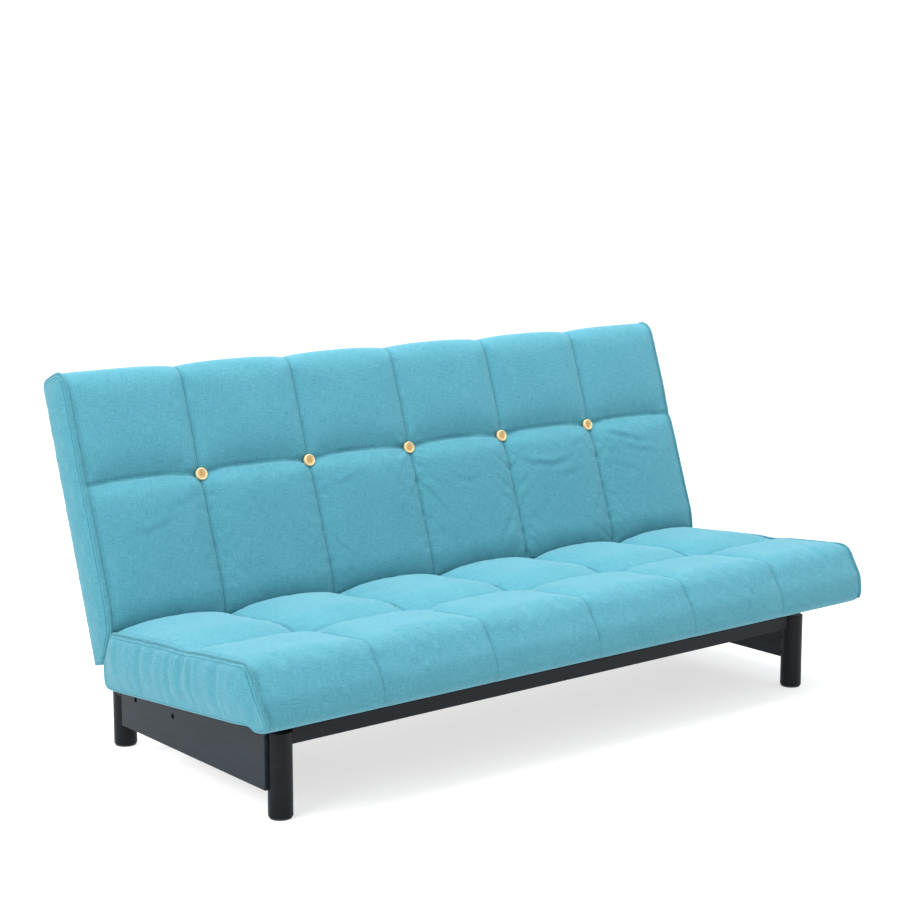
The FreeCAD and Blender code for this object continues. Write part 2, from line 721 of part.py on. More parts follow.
def pawl(label, sign):
    x_low = low_x(sign, link_in, v.arm_thick)
    blank = joined(label + "_blank",
                   [rod(label + "_hub", (x_low, *pawl_pivot), AXIS_X, "pawl_hub-1", "arm_thick")]
                   + bar(label + "_shank", pawl_pivot, pawl_knee, "knee_radius", "arm_thick", x_low)
                   + bar(label + "_nose", pawl_knee, pawl_nose, "nose_radius", "arm_thick", x_low))
    bore = rod(label + "_bore", (x_low, *pawl_pivot), AXIS_X, "pawl_pin+run_gap", "arm_thick")
    put(label, cut(label, blank, [bore]), SEAT)


link_frame = Placement(Vector(0, *pivot), Rotation(AXIS_X, v.link_angle))
for side, sign in SIDES.items():
    plate = slotted_plate(f"plate_{side}", "bolt_pitch", "plate_half", "plate_thick",
                          "pin_radius+run_gap", "pin_radius+run_gap")
    plate.Placement.Base = Vector(low_x(sign, plate_in, v.plate_thick), *pivot)
    put(f"hinge_plate_{side}", plate, BASE)
    link = slotted_plate(f"link_{side}", "link_length", "link_half", "link_thick",
                         "bush_radius+run_gap", "pin_radius+run_gap")
    link_offset = Vector(low_x(sign, link_in, v.link_thick), 0, 0)
    link.Placement = link_frame.multiply(Placement(link_offset, Rotation()))
    put(f"swing_link_{side}", link, BASE)
    seat_arm(f"seat_arm_{side}", sign)
    ratchet_arm(f"back_arm_{side}", sign)
    pawl(f"pawl_{side}", sign)

bushes = []
for side, sign in SIDES.items():
    x_low = low_x(sign, link_in, v.link_thick)
    sleeve = rod(f"bush_{side}", (x_low, *pivot), AXIS_X, "bush_radius", "link_thick")
    bushes.append(cut(f"bush_ring_{side}", sleeve, [
        rod(f"bush_bore_{side}", (x_low, *pivot), AXIS_X, "pin_radius+run_gap", "link_thick")]))
put("link_bushes", group("bush_set", bushes), BASE)

head_face = board_out - v.bolt_recess
nut_in = link_in - v.plane_gap - v.head_thick
rear_bolt = (pivot[0] + v.bolt_pitch, v.pivot_z)
put("link_pivot_bolts", group("pivot_bolt_set", [
    bolt(f"pivot_bolt_{side}", (sign * head_face, *pivot), AXIS_X * -sign, "pin_radius",
         f"{head_face - nut_in}", "bolt_head", "head_thick") for side, sign in SIDES.items()]), BASE)
put("plate_bolts", group("plate_bolt_set", [
    bolt(f"plate_bolt_{side}", (sign * head_face, *rear_bolt), AXIS_X * -sign, "pin_radius",
         f"{head_face - plate_in}+head_thick", "bolt_head", "head_thick")
    for side, sign in SIDES.items()]), BASE)

nuts = []
for side, sign in SIDES.items():
    for name, spot, inner in (("pivot", pivot, nut_in), ("plate", rear_bolt, plate_in - v.head_thick)):
        ring = rod(f"{name}_nut_{side}", (sign * inner, *spot), AXIS_X * sign, "nut_radius", "head_thick")
        nuts.append(cut(f"{name}_nut_ring_{side}", ring, [
            rod(f"{name}_nut_bore_{side}", (sign * inner, *spot), AXIS_X * sign,
                "pin_radius+run_gap", "head_thick")]))
put("mechanism_nuts", group("nut_set", nuts), BASE)

put("link_pins", group("link_pin_set", [
    bolt(f"link_pin_{side}", (sign * arm_in, *seat_hub), AXIS_X * sign, "pin_radius",
         "arm_thick+plane_gap+link_thick", "bolt_head+2", "arm_thick")
    for side, sign in SIDES.items()]), SEAT)
put("hinge_pins", group("hinge_pin_set", [
    bolt(f"hinge_pin_{side}", (sign * (link_in + v.arm_thick), *hinge), AXIS_X * -sign, "hinge_pin",
         "arm_thick+plane_gap+arm_thick", "nut_radius+1", "plane_gap")
    for side, sign in SIDES.items()]), SEAT)
put("pawl_pins", group("pawl_pin_set", [
    bolt(f"pawl_pin_{side}", (sign * arm_in, *pawl_pivot), AXIS_X * sign, "pawl_pin",
         "arm_thick+plane_gap+arm_thick", "bolt_head", "pad_thick") for side, sign in SIDES.items()]), SEAT)


# ---- seat frame ----

for side, sign in SIDES.items():
    put(f"seat_side_tube_{side}", tube(f"seat_tube_{side}", "Y", "seat_depth-tube_setback-front_tube_at",
        (low_x(sign, seat_tube_in, v.tube_side), v.front_tube_at, tube_low)), SEAT)
rear_tube_at = v.seat_depth - v.tube_setback - v.tube_side
for label, y in (("front", v.front_tube_at), ("mid", v.mid_tube_at), ("rear", rear_tube_at)):
    put(f"seat_{label}_tube", tube(f"seat_cross_{label}", "X", f"2*{seat_tube_in}",
        (-seat_tube_in, y, tube_low)), SEAT)
put("seat_deck", bar_stock(
    "deck", "Z", f"2*({arm_in}-deck_clear)", "seat_depth-tube_setback-deck_front", "deck_thick",
    (v.deck_clear - arm_in, v.deck_front, -v.soft_gap - v.deck_thick), radius="edge_round"), SEAT)

put("seat_arm_bolts", group("seat_bolt_set", [
    bolt(f"seat_bolt_{side}{i}", (sign * (arm_in + v.arm_thick), y, tube_mid), AXIS_X * -sign,
         "frame_bolt", "arm_thick", "frame_head", "pad_thick")
    for side, sign in SIDES.items() for i, y in enumerate(SEAT_BOLTS)]), SEAT)


# ---- back frame, rear cover and buttons ----

tube_front = -v.back_tube_set - v.tube_side
back_cross_top = recess_top - v.tube_side - 4
for side, sign in SIDES.items():
    put(f"back_side_tube_{side}", tube(f"back_tube_{side}", "Z", f"{back_cross_top}+tube_side-back_tube_foot",
        (low_x(sign, back_tube_in, v.tube_side), tube_front, v.back_tube_foot)), BACK)
back_mid_at = button_height - v.tube_side / 2
for label, z in (("bottom", v.back_tube_foot), ("mid", back_mid_at), ("top", back_cross_top)):
    put(f"back_{label}_tube", tube(f"back_cross_{label}", "X", f"2*{back_tube_in}",
        (-back_tube_in, tube_front, z)), BACK)

put("back_arm_bolts", group("back_bolt_set", [
    bolt(f"back_bolt_{side}{i}", (sign * (link_in + v.arm_thick), tube_front + v.tube_side / 2, z),
         AXIS_X * -sign, "frame_bolt", "arm_thick", "frame_head", "pad_thick")
    for side, sign in SIDES.items() for i, z in enumerate(ARM_BOLTS)]), BACK)

cover = bar_stock("cover_blank", "Y", "panel_width-2*cover_side_gap",
                  "back_height-back_rear_drop-cover_side_gap-cover_foot", "cover_thick",
                  (-v.panel_width / 2 + v.cover_side_gap, v.rear_face, v.cover_foot))
put("rear_cover", cover, BACK)


def tuft_button(name, x):
    """Four-hole button with a raised rim, sunk into its dimple."""
    back_face = -v.back_thick + v.dimple_depth - v.soft_gap
    seat_spot = (x, back_face, button_height)
    disc = rod(name + "_disc", seat_spot, AXIS_Y * -1, "button_radius", "button_thick")
    rim = doc.addObject("Part::Torus", name + "_rim")
    bind(rim, Radius1="button_radius-rim_thick", Radius2="rim_thick")
    rim.Placement = Placement(Vector(x, back_face - v.button_thick, button_height), Rotation(AXIS_Z, AXIS_Y))
    holes = [rod(f"{name}_hole{i}{j}",
                 (x + i * v.thread_spread, back_face, button_height + j * v.thread_spread),
                 AXIS_Y * -1, "thread_hole", "2*button_thick") for i in (-1, 1) for j in (-1, 1)]
    return cut(name, joined(name + "_body", [disc, rim]), holes)


put("tuft_buttons", group("button_set", [
    tuft_button(f"button{i}", x) for i, x in enumerate(button_spots())]), BACK)


# ---- check, centre and write ----

doc.recompute()
for item in doc.Objects:
    if "Invalid" in item.State or "Error" in item.State:
        raise RuntimeError(f"{item.Name} failed: {item.State}")
for label, part in nodes.items():
    if part.Shape.isNull() or not part.Shape.isValid() or not part.Shape.Solids:
        raise RuntimeError(f"{label} has no valid solid")

# the origin goes under the middle of the whole sofa's box
boxes = [part.Shape.optimalBoundingBox(False) for part in nodes.values()]
middle_y = (min(b.YMin for b in boxes) + max(b.YMax for b in boxes)) / 2
for part in nodes.values():
    part.Placement = Placement(Vector(0, -middle_y, 0), Rotation()).multiply(part.Placement)

os.makedirs("parts", exist_ok=True)
for label, part in nodes.items():
    part.Shape.exportStep(f"parts/{label}.step")
print(len(nodes), "nodes; middle_y", round(middle_y, 3))
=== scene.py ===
import json
import math

import bmesh
import bpy
import numpy as np
from mathutils import Matrix, Vector


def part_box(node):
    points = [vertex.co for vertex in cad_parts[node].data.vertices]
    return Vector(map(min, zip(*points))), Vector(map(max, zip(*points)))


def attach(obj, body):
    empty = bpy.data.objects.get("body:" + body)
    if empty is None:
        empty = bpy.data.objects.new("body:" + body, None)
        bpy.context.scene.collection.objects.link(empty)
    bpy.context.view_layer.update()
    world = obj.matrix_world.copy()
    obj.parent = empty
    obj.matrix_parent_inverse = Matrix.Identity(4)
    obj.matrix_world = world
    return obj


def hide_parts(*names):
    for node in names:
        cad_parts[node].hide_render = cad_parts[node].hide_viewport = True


# Futon sofa bed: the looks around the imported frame. Metres. Cushions are built in the seat's and
# the back's own axes (Y along or through the panel, Z up it), inflated as cloth between their
# pinned seams, and then moved into the row's frame.

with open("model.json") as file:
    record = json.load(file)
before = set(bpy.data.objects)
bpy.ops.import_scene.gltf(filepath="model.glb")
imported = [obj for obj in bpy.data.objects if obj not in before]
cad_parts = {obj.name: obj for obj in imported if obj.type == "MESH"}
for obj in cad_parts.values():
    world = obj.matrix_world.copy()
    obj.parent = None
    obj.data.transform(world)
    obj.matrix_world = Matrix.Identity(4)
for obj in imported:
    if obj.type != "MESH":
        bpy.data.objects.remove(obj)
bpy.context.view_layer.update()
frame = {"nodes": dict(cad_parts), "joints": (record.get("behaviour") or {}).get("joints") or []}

BUTTON_WIDTH = 0.032
BUTTON_COUNT = 5
HALF_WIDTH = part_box("seat_cushion")[1].x
COLUMNS = 6
COLUMN_PITCH = 2 * HALF_WIDTH / COLUMNS
SEAMS = [(i + 1) * COLUMN_PITCH - HALF_WIDTH for i in range(COLUMNS - 1)]
SEAT_TILT = math.radians(5)
BACK_RECLINE = math.radians(19)
SEAT_DEPTH = 0.692
HINGE_IN_SEAT = Vector((0, 0.725, 0.0323))  # the back's hinge, in the seat's axes
EDGE_ROUND = 0.007
EDGE_BEVEL = 0.29  # 1 - cos 45 degrees
BESIDE_SEAM = (0.0022, 0.0050, 0.0095)  # points beside a seam; the stitches run on the middle one
RELAX_STEPS = 600
CLOTH_FRAMES = 16
CLOTH_PRESSURE = 4.0

joints = {joint["name"]: joint for joint in frame["joints"]}
hinge = Vector(joints["back_recline"]["pos_m"])
seat_axes = (Matrix.Translation(hinge) @ Matrix.Rotation(-SEAT_TILT, 4, "X")
             @ Matrix.Translation(-HINGE_IN_SEAT))
back_axes = Matrix.Translation(hinge) @ Matrix.Rotation(-BACK_RECLINE, 4, "X")


# ---- node materials ----

def new_material(name):
    """A node material, with its tree and its shader."""
    material = bpy.data.materials.new(name)
    material.use_nodes = True
    tree = material.node_tree
    return material, tree, tree.nodes["Principled BSDF"]


def add(tree, kind, **settings):
    """A node with its inputs or properties set by name."""
    node = tree.nodes.new(kind)
    for key, setting in settings.items():
        if key in node.inputs:
            node.inputs[key].default_value = setting
        else:
            setattr(node, key, setting)
    return node


def math_node(tree, operation, first, second=None):
    """Result of one sum on numbers or sockets."""
    node = tree.nodes.new("ShaderNodeMath")
    node.operation = operation
    for socket, value in zip(node.inputs, (first, second)):
        if value is None:
            continue
        if hasattr(value, "is_output"):
            tree.links.new(value, socket)
        else:
            socket.default_value = value
    return node.outputs[0]


def noise(tree, place, scale, detail=3.0, stretch=(1, 1, 1)):
    """Noise read at stretched coordinates."""
    mapping = add(tree, "ShaderNodeMapping")
    mapping.inputs["Scale"].default_value = stretch
    tree.links.new(place, mapping.inputs["Vector"])
    node = add(tree, "ShaderNodeTexNoise", Scale=scale, Detail=detail)
    tree.links.new(mapping.outputs[0], node.inputs["Vector"])
    return node.outputs["Fac"]


def ramp(tree, factor, stops):
    """Colours mixed between (place, colour) stops."""
    node = tree.nodes.new("ShaderNodeValToRGB")
    elements = node.color_ramp.elements
    while len(elements) < len(stops):
        elements.new(0.5)
    for element, (place, colour) in zip(elements, stops):
        element.position = place
        element.color = (*colour, 1)
    tree.links.new(factor, node.inputs["Fac"])
    return node.outputs["Color"]


def bump(tree, height, strength, distance):
    node = add(tree, "ShaderNodeBump", Strength=strength, Distance=distance)
    tree.links.new(height, node.inputs["Height"])
    return node.outputs["Normal"]


def zone_mix(tree, distance, inner, outer, near, far):
    """The near colour below the inner distance, the far socket's colour beyond the outer one."""
    zone = tree.nodes.new("ShaderNodeMapRange")
    zone.inputs["From Min"].default_value = inner
    zone.inputs["From Max"].default_value = outer
    tree.links.new(distance, zone.inputs["Value"])
    mix = add(tree, "ShaderNodeMix", data_type="RGBA")
    tree.links.new(zone.outputs[0], mix.inputs[0])
    mix.inputs[6].default_value = (*near, 1)
    tree.links.new(far, mix.inputs[7])
    return mix.outputs[2]


def off_grid(tree, value, pitch):
    """Signed distance from value to the nearest multiple of pitch."""
    ratio = math_node(tree, "DIVIDE", value, pitch)
    away = math_node(tree, "SUBTRACT", ratio, math_node(tree, "ROUND", ratio))
    return math_node(tree, "MULTIPLY", away, pitch)


FABRIC_DARK = (0.027, 0.146, 0.192)
FABRIC_MID = (0.053, 0.223, 0.283)
FABRIC_LIGHT = (0.104, 0.304, 0.369)
THREADS_PER_METRE = 900
# A painted shadow along each column seam: the width where it is full, the width where it fades out, and
# its darkness against the darkest tone.
SEAM_SHADOW_BAND = (0.0003, 0.0012)
SEAM_SHADE = 0.90
SHEEN_TINT = (0.66, 0.87, 0.95, 1)


def fabric_material(name, shade=1.0, painted_seam_shadow=False):
    """Fine plain weave with heathered threads; UVs are metres along and across the panel."""
    material, tree, shader = new_material(name)
    uv = tree.nodes.new("ShaderNodeUVMap").outputs["UV"]
    split = tree.nodes.new("ShaderNodeSeparateXYZ")
    tree.links.new(uv, split.inputs[0])
    across, along = split.outputs[0], split.outputs[1]
    turns = THREADS_PER_METRE * 2 * math.pi
    warp = math_node(tree, "SINE", math_node(tree, "MULTIPLY", across, turns))
    weft = math_node(tree, "SINE", math_node(tree, "MULTIPLY", along, turns))
    weave = math_node(tree, "MULTIPLY", warp, weft)
    slub_across = noise(tree, uv, 1.0, 2.0, (38, 900, 1))
    slub_along = noise(tree, uv, 1.0, 2.0, (900, 38, 1))
    mottle = noise(tree, uv, 330.0, 3.0)
    cloud = noise(tree, uv, 9.0, 3.0)
    heather = math_node(tree, "ADD", math_node(tree, "MULTIPLY", slub_across, 0.34),
                        math_node(tree, "MULTIPLY", slub_along, 0.34))
    heather = math_node(tree, "ADD", heather, math_node(tree, "MULTIPLY", mottle, 0.24))
    heather = math_node(tree, "ADD", heather, math_node(tree, "MULTIPLY", cloud, 0.08))
    # shade below 1 darkens every tone: painted shade, for the darker copies used on the side panels,
    # rear panel and piping
    tones = [tuple(channel * shade for channel in tone)
             for tone in (FABRIC_DARK, FABRIC_MID, FABRIC_LIGHT)]
    colour = ramp(tree, heather, [(0.32, tones[0]), (0.50, tones[1]), (0.68, tones[2])])
    height = math_node(tree, "ADD", math_node(tree, "MULTIPLY", weave, 0.35), heather)
    # painted shadow along each column seam, in the groove where shade falls
    if painted_seam_shadow:
        offset = math_node(tree, "ADD", across, HALF_WIDTH)
        away = math_node(tree, "ABSOLUTE", off_grid(tree, offset, COLUMN_PITCH))
        shadow = [channel * SEAM_SHADE for channel in tones[0]]
        colour = zone_mix(tree, away, *SEAM_SHADOW_BAND, shadow, colour)
    tree.links.new(colour, shader.inputs["Base Color"])
    tree.links.new(bump(tree, height, 0.32, 0.0006), shader.inputs["Normal"])
    rough = math_node(tree, "ADD", math_node(tree, "MULTIPLY", mottle, 0.12), 0.80)
    tree.links.new(rough, shader.inputs["Roughness"])
    shader.inputs["Sheen Weight"].default_value = 0.24
    shader.inputs["Sheen Roughness"].default_value = 0.45
    shader.inputs["Sheen Tint"].default_value = SHEEN_TINT
    shader.inputs["Specular IOR Level"].default_value = 0.22
    return material


def surface_material(name, dark, light, roughness, metallic=0.0, grain=(12, 12, 12), scale=6.0,
                     relief=0.05, coat=0.0, specular=0.5):
    """Solid finish with slow colour variation, fine relief and uneven gloss."""
    material, tree, shader = new_material(name)
    place = tree.nodes.new("ShaderNodeTexCoord").outputs["Object"]
    broad = noise(tree, place, scale, 5.0, grain)
    fine = noise(tree, place, 420.0, 3.0)
    mix = math_node(tree, "ADD", math_node(tree, "MULTIPLY", broad, 0.7),
                    math_node(tree, "MULTIPLY", fine, 0.3))
    tree.links.new(ramp(tree, mix, [(0.35, dark), (0.68, light)]), shader.inputs["Base Color"])
    tree.links.new(bump(tree, mix, relief, 0.0008), shader.inputs["Normal"])
    rough = math_node(tree, "ADD", math_node(tree, "MULTIPLY", mix, 0.16), roughness - 0.08)
    tree.links.new(rough, shader.inputs["Roughness"])
    shader.inputs["Metallic"].default_value = metallic
    shader.inputs["Coat Weight"].default_value = coat
    shader.inputs["Coat Roughness"].default_value = 0.3
    shader.inputs["Specular IOR Level"].default_value = specular
    return material


fabric = fabric_material("upholstery_fabric", painted_seam_shadow=True)
# The side panels and the rear panel take a copy of the same fabric painted slightly darker: painted
# shade.
side_fabric_painted_shade = fabric_material("upholstery_side_fabric", shade=0.97)
# The piping takes a copy of the same fabric painted darker: painted shade along the piped edges.
piping_fabric_painted_shade = fabric_material("piping_fabric_painted_shade", shade=0.86)
thread_material = surface_material("sewing_thread", (0.032, 0.155, 0.200), (0.052, 0.210, 0.268), 0.65,
                                   scale=300.0, relief=0.2)


def stained_wood(name, dark, light, grain, specular=0.16):
    """Dark stained wood under a dull lacquer."""
    return surface_material(name, dark, light, 0.46, grain=grain, scale=5.0, relief=0.10,
                            specular=specular)


paint = stained_wood("charcoal_paint", (0.0016, 0.0030, 0.0046), (0.0042, 0.0066, 0.0092), (3, 3, 30))
# The side boards take a lighter copy of the legs' charcoal finish: painted light on the boards' lit
# faces.
board_paint_painted_light = stained_wood("charcoal_board_paint", (0.0040, 0.0090, 0.0135), (0.0120, 0.0200, 0.0270),
                           (8, 1.2, 16), specular=0.20)
rail_paint = stained_wood("charcoal_rail_paint", (0.0022, 0.0045, 0.0070), (0.0060, 0.0095, 0.0130),
                          (1.2, 16, 16))
BUTTON_CENTRE = (0.42, 0.250, 0.085)
BUTTON_RIM = (0.0075, 0.0125)


def button_material():
    """Turned light wood: pale rim, darker orange centre, measured from each button's axis."""
    material = surface_material("button_wood", (0.50, 0.37, 0.17), (0.70, 0.56, 0.32), 0.42,
                                grain=(6, 60, 60), scale=8.0, relief=0.06, coat=0.25)
    tree = material.node_tree
    shader = tree.nodes["Principled BSDF"]
    wood = shader.inputs["Base Color"].links[0].from_socket
    place = tree.nodes.new("ShaderNodeTexCoord").outputs["Object"]
    split = tree.nodes.new("ShaderNodeSeparateXYZ")
    tree.links.new(place, split.inputs[0])
    low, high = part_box("tuft_buttons")
    pitch = (high.x - low.x - BUTTON_WIDTH) / (BUTTON_COUNT - 1)
    aside = off_grid(tree, split.outputs[0], pitch)
    above = math_node(tree, "SUBTRACT", split.outputs[2], (low.z + high.z) / 2)
    up = math_node(tree, "DIVIDE", above, math.cos(BACK_RECLINE))
    square = math_node(tree, "ADD", math_node(tree, "MULTIPLY", aside, aside),
                       math_node(tree, "MULTIPLY", up, up))
    away = math_node(tree, "SQRT", square)
    tree.links.new(zone_mix(tree, away, *BUTTON_RIM, BUTTON_CENTRE, wood), shader.inputs["Base Color"])
    return material


button_wood = button_material()
dark_metal = surface_material("black_powder_coat", (0.010, 0.010, 0.011), (0.028, 0.028, 0.031), 0.5,
                              relief=0.25)
zinc = surface_material("zinc_plate", (0.34, 0.34, 0.35), (0.60, 0.60, 0.62), 0.34, metallic=1.0,
                        grain=(40, 4, 4), scale=12.0)
black_oxide = surface_material("black_oxide", (0.006, 0.006, 0.007), (0.02, 0.02, 0.022), 0.4,
                               metallic=0.6)
plywood = surface_material("stained_plywood", (0.020, 0.018, 0.017), (0.055, 0.045, 0.038), 0.6,
                           grain=(1.2, 22, 60), scale=4.0, relief=0.15)
dowel_wood = surface_material("raw_beech", (0.45, 0.28, 0.15), (0.62, 0.43, 0.26), 0.6,
                              grain=(2, 30, 30))
nylon = surface_material("natural_nylon", (0.62, 0.60, 0.54), (0.76, 0.74, 0.69), 0.45)
black_plastic = surface_material("black_plastic", (0.012, 0.012, 0.012), (0.03, 0.03, 0.03), 0.55,
                                 relief=0.2)
rubber = surface_material("black_rubber", (0.012, 0.012, 0.012), (0.035, 0.035, 0.034), 0.8, relief=0.3)

NODE_MATERIALS = {
    "leg": paint, "side_board": board_paint_painted_light, "front_rail": rail_paint, "rear_rail": rail_paint,
    "leg_glides": black_plastic, "rail_pads": rubber, "rail_dowels": dowel_wood,
    "front_leg_bolts": black_oxide, "rear_leg_bolts": black_oxide, "rear_rail_screws": zinc,
    "mechanism_nuts": zinc,
    "link_pins": zinc, "hinge_pins": zinc, "pawl_pins": zinc, "arm_bolts": zinc,
    "link_pivot_bolts": black_oxide, "plate_bolts": black_oxide, "hinge_plate": dark_metal,
    "swing_link": dark_metal, "arm": dark_metal, "pawl": dark_metal, "link_bushes": nylon,
    "tube": dark_metal, "seat_deck": plywood, "tuft_buttons": button_wood,
}


def material_for(node):
    """The entry with the longest name found in the node's name."""
    found = [key for key in NODE_MATERIALS if key in node]
    return NODE_MATERIALS[max(found, key=len)] if found else None


for node_name, node_object in frame["nodes"].items():
    chosen = material_for(node_name)
    if chosen:
        node_object.data.materials.clear()
        node_object.data.materials.append(chosen)


# ---- meshes ----

def new_object(name, mesh, *materials):
    """A linked object with its materials."""
    piece = bpy.data.objects.new(name, mesh)
    bpy.context.scene.collection.objects.link(piece)
    for material in materials:
        mesh.materials.append(material)
    return piece


def mesh_from(name, points, faces):
    mesh = bpy.data.meshes.new(name)
    mesh.from_pydata([tuple(point) for point in points], [], faces)
    mesh.update()
    return mesh


def shade_smooth(mesh):
    mesh.polygons.foreach_set("use_smooth", [True] * len(mesh.polygons))


def coordinates(mesh):
    flat = np.empty(len(mesh.vertices) * 3)
    mesh.vertices.foreach_get("co", flat)
    return flat.reshape(-1, 3)


def set_coordinates(mesh, points):
    mesh.vertices.foreach_set("co", np.asarray(points, float).ravel())
    mesh.update()


def rounded_outline(corners, splits):
    """Closed outline (y, z) through rounded corners, cut at the chosen corners into sides."""
    count = len(corners)
    pieces = []
    for i, (y, z, radius) in enumerate(corners):
        here = np.array((y, z))
        before = np.array(corners[i - 1][:2]) - here
        after = np.array(corners[(i + 1) % count][:2]) - here
        before = before / np.linalg.norm(before)
        after = after / np.linalg.norm(after)
        half = math.acos(float(np.clip(before @ after, -1, 1))) / 2
        reach = radius / math.tan(half)
        bisector = (before + after) / np.linalg.norm(before + after)
        centre = here + bisector * radius / math.sin(half)
        start = here + before * reach - centre
        end = here + after * reach - centre
        turn = math.atan2(start[0] * end[1] - start[1] * end[0], start @ end)
        steps = max(4, int(abs(turn) * radius / 0.003) // 2 * 2)
        angles = math.atan2(start[1], start[0]) + np.linspace(0, turn, steps + 1)
        pieces.append([centre + radius * np.array((math.cos(a), math.sin(a))) for a in angles])
    line = []
    marks = []
    for i, piece in enumerate(pieces):
        if i in splits:
            marks.append(len(line) + len(piece) // 2)
        line.extend(piece)
    line = np.array(line)
    sides = []
    for i, mark in enumerate(marks):
        stop = marks[(i + 1) % len(marks)]
        index = np.arange(mark, stop + 1) if stop > mark else np.r_[mark:len(line), 0:stop + 1]
        sides.append(line[index])
    return sides


def resampled(line, count, focus=None, spread=0.05):
    """Points spaced evenly along a line, or drawn together around the fractions in focus."""
    steps = np.r_[0, np.cumsum(np.linalg.norm(np.diff(line, axis=0), axis=1))]
    dense = np.linspace(0, 1, 2001)
    weight = np.ones_like(dense)
    for place in focus or ():
        weight += 2.2 * np.exp(-((dense - place) / spread) ** 2)
    total = np.r_[0, np.cumsum(weight[1:])]
    fractions = np.interp(np.linspace(0, total[-1], count + 1), total, dense) * steps[-1]
    return np.stack([np.interp(fractions, steps, line[:, k]) for k in (0, 1)], axis=1)


def seam_stations(step=0.0135):
    """X stations across the panel, closer together beside each seam."""
    near = sorted({0.0, *BESIDE_SEAM, *[-b for b in BESIDE_SEAM]})
    stations = [s + d for s in SEAMS for d in near]
    outermost = BESIDE_SEAM[-1]
    edges = [-HALF_WIDTH + EDGE_ROUND, *[s + d for s in SEAMS for d in (-outermost, outermost)],
             HALF_WIDTH - EDGE_ROUND]
    for low, high in zip(edges[::2], edges[1::2]):
        count = round((high - low) / step)
        stations += list(np.linspace(low, high, count + 1))
    return np.array(sorted({round(s, 6) for s in stations}))


class Panel:
    """Closed cushion grid: rings of the outline across X, with a patched side panel at each end.

    Opposite sides of the outline have the same count, so that the side panels close.
    """

    def __init__(self, name, sides, counts, focus):
        self.name = name
        parts = [resampled(side, count, focus.get(i))
                 for i, (side, count) in enumerate(zip(sides, counts))]
        self.side_of = np.concatenate([np.full(count, i) for i, count in enumerate(counts)])
        self.ring = np.concatenate([part[:-1] for part in parts])
        run = np.roll(self.ring, -1, axis=0) - np.roll(self.ring, 1, axis=0)
        run /= np.linalg.norm(run, axis=1)[:, None]
        self.normal = np.stack([run[:, 1], -run[:, 0]], axis=1)
        self.counts = counts
        lengths = np.linalg.norm(np.diff(np.vstack([self.ring, self.ring[:1]]), axis=0), axis=1)
        self.arc = np.r_[0, np.cumsum(lengths)[:-1]]
        self.build()

    def build(self):
        size = len(self.ring)
        full = seam_stations()
        bevel = EDGE_BEVEL * EDGE_ROUND
        ends = [(-HALF_WIDTH, EDGE_ROUND), (-HALF_WIDTH + bevel, bevel)]
        stations = ends + [(x, 0.0) for x in full] + [(-x, inset) for x, inset in reversed(ends)]
        points = []
        for x, inset in stations:
            ring = self.ring - self.normal * inset
            points.append(np.column_stack([np.full(size, x), ring]))
        points = np.concatenate(points)
        self.ring_index = np.tile(np.arange(size), len(stations))
        faces = []
        for j in range(len(stations) - 1):
            for i in range(size):
                k = (i + 1) % size
                faces.append((j * size + i, j * size + k, (j + 1) * size + k, (j + 1) * size + i))
        shell_faces = len(faces)
        for j, flip in ((0, True), (len(stations) - 1, False)):
            points, cap_faces = self.cap(points, j * size, flip)
            faces += cap_faces
        self.mesh = mesh_from(self.name, points, faces)
        self.stations = stations
        self.shell_faces = shell_faces
        self.start = coordinates(self.mesh)
        extra = len(points) - len(self.ring_index)
        self.ring_index = np.r_[self.ring_index, np.full(extra, -1)]

    def cap(self, points, base, flip):
        """Side panel: a patch between the ring's four sides."""
        across, up = self.counts[0], self.counts[1]
        corner = np.cumsum([0, *self.counts])
        ids = -np.ones((across + 1, up + 1), int)
        size = len(self.ring)
        ids[:, 0] = [(corner[0] + i) % size + base for i in range(across + 1)]
        ids[-1, :] = [(corner[1] + i) % size + base for i in range(up + 1)]
        ids[:, -1] = [(corner[3] - i) % size + base for i in range(across + 1)]
        ids[0, :] = [(corner[4] - i) % size + base for i in range(up + 1)]
        fresh = []
        for i in range(1, across):
            for j in range(1, up):
                u, w = i / across, j / up
                p = ((1 - w) * points[ids[i, 0]] + w * points[ids[i, -1]]
                     + (1 - u) * points[ids[0, j]] + u * points[ids[-1, j]]
                     - (1 - u) * (1 - w) * points[ids[0, 0]] - u * (1 - w) * points[ids[-1, 0]]
                     - (1 - u) * w * points[ids[0, -1]] - u * w * points[ids[-1, -1]])
                ids[i, j] = len(points) + len(fresh)
                fresh.append(p)
        faces = []
        for i in range(across):
            for j in range(up):
                quad = (ids[i, j], ids[i + 1, j], ids[i + 1, j + 1], ids[i, j + 1])
                faces.append(quad[::-1] if flip else quad)
        points = np.vstack([points, fresh])
        # relaxed, so that no face folds over in the panel's rounded corners
        grid = points[ids]
        for _ in range(RELAX_STEPS):
            grid[1:-1, 1:-1] = (grid[:-2, 1:-1] + grid[2:, 1:-1] + grid[1:-1, :-2] + grid[1:-1, 2:]) / 4
        points[ids] = grid
        return points, faces


def bell(distance, width):
    """1 at no distance, falling off over width."""
    return np.exp(-(distance / width) ** 2)


def ease(value, low, high):
    """0 below low, 1 above high, smooth between."""
    t = np.clip((value - low) / (high - low), 0, 1)
    return t * t * (3 - 2 * t)


def from_end(x):
    """Distance in from the nearer end of the panel."""
    return HALF_WIDTH - np.abs(x)


def pillow(x, power):
    """1 in the middle of each column, 0 on the seams and at the panel's ends."""
    place = (x + HALF_WIDTH) / COLUMN_PITCH
    return 1 - np.abs(2 * (place - np.floor(place)) - 1) ** power


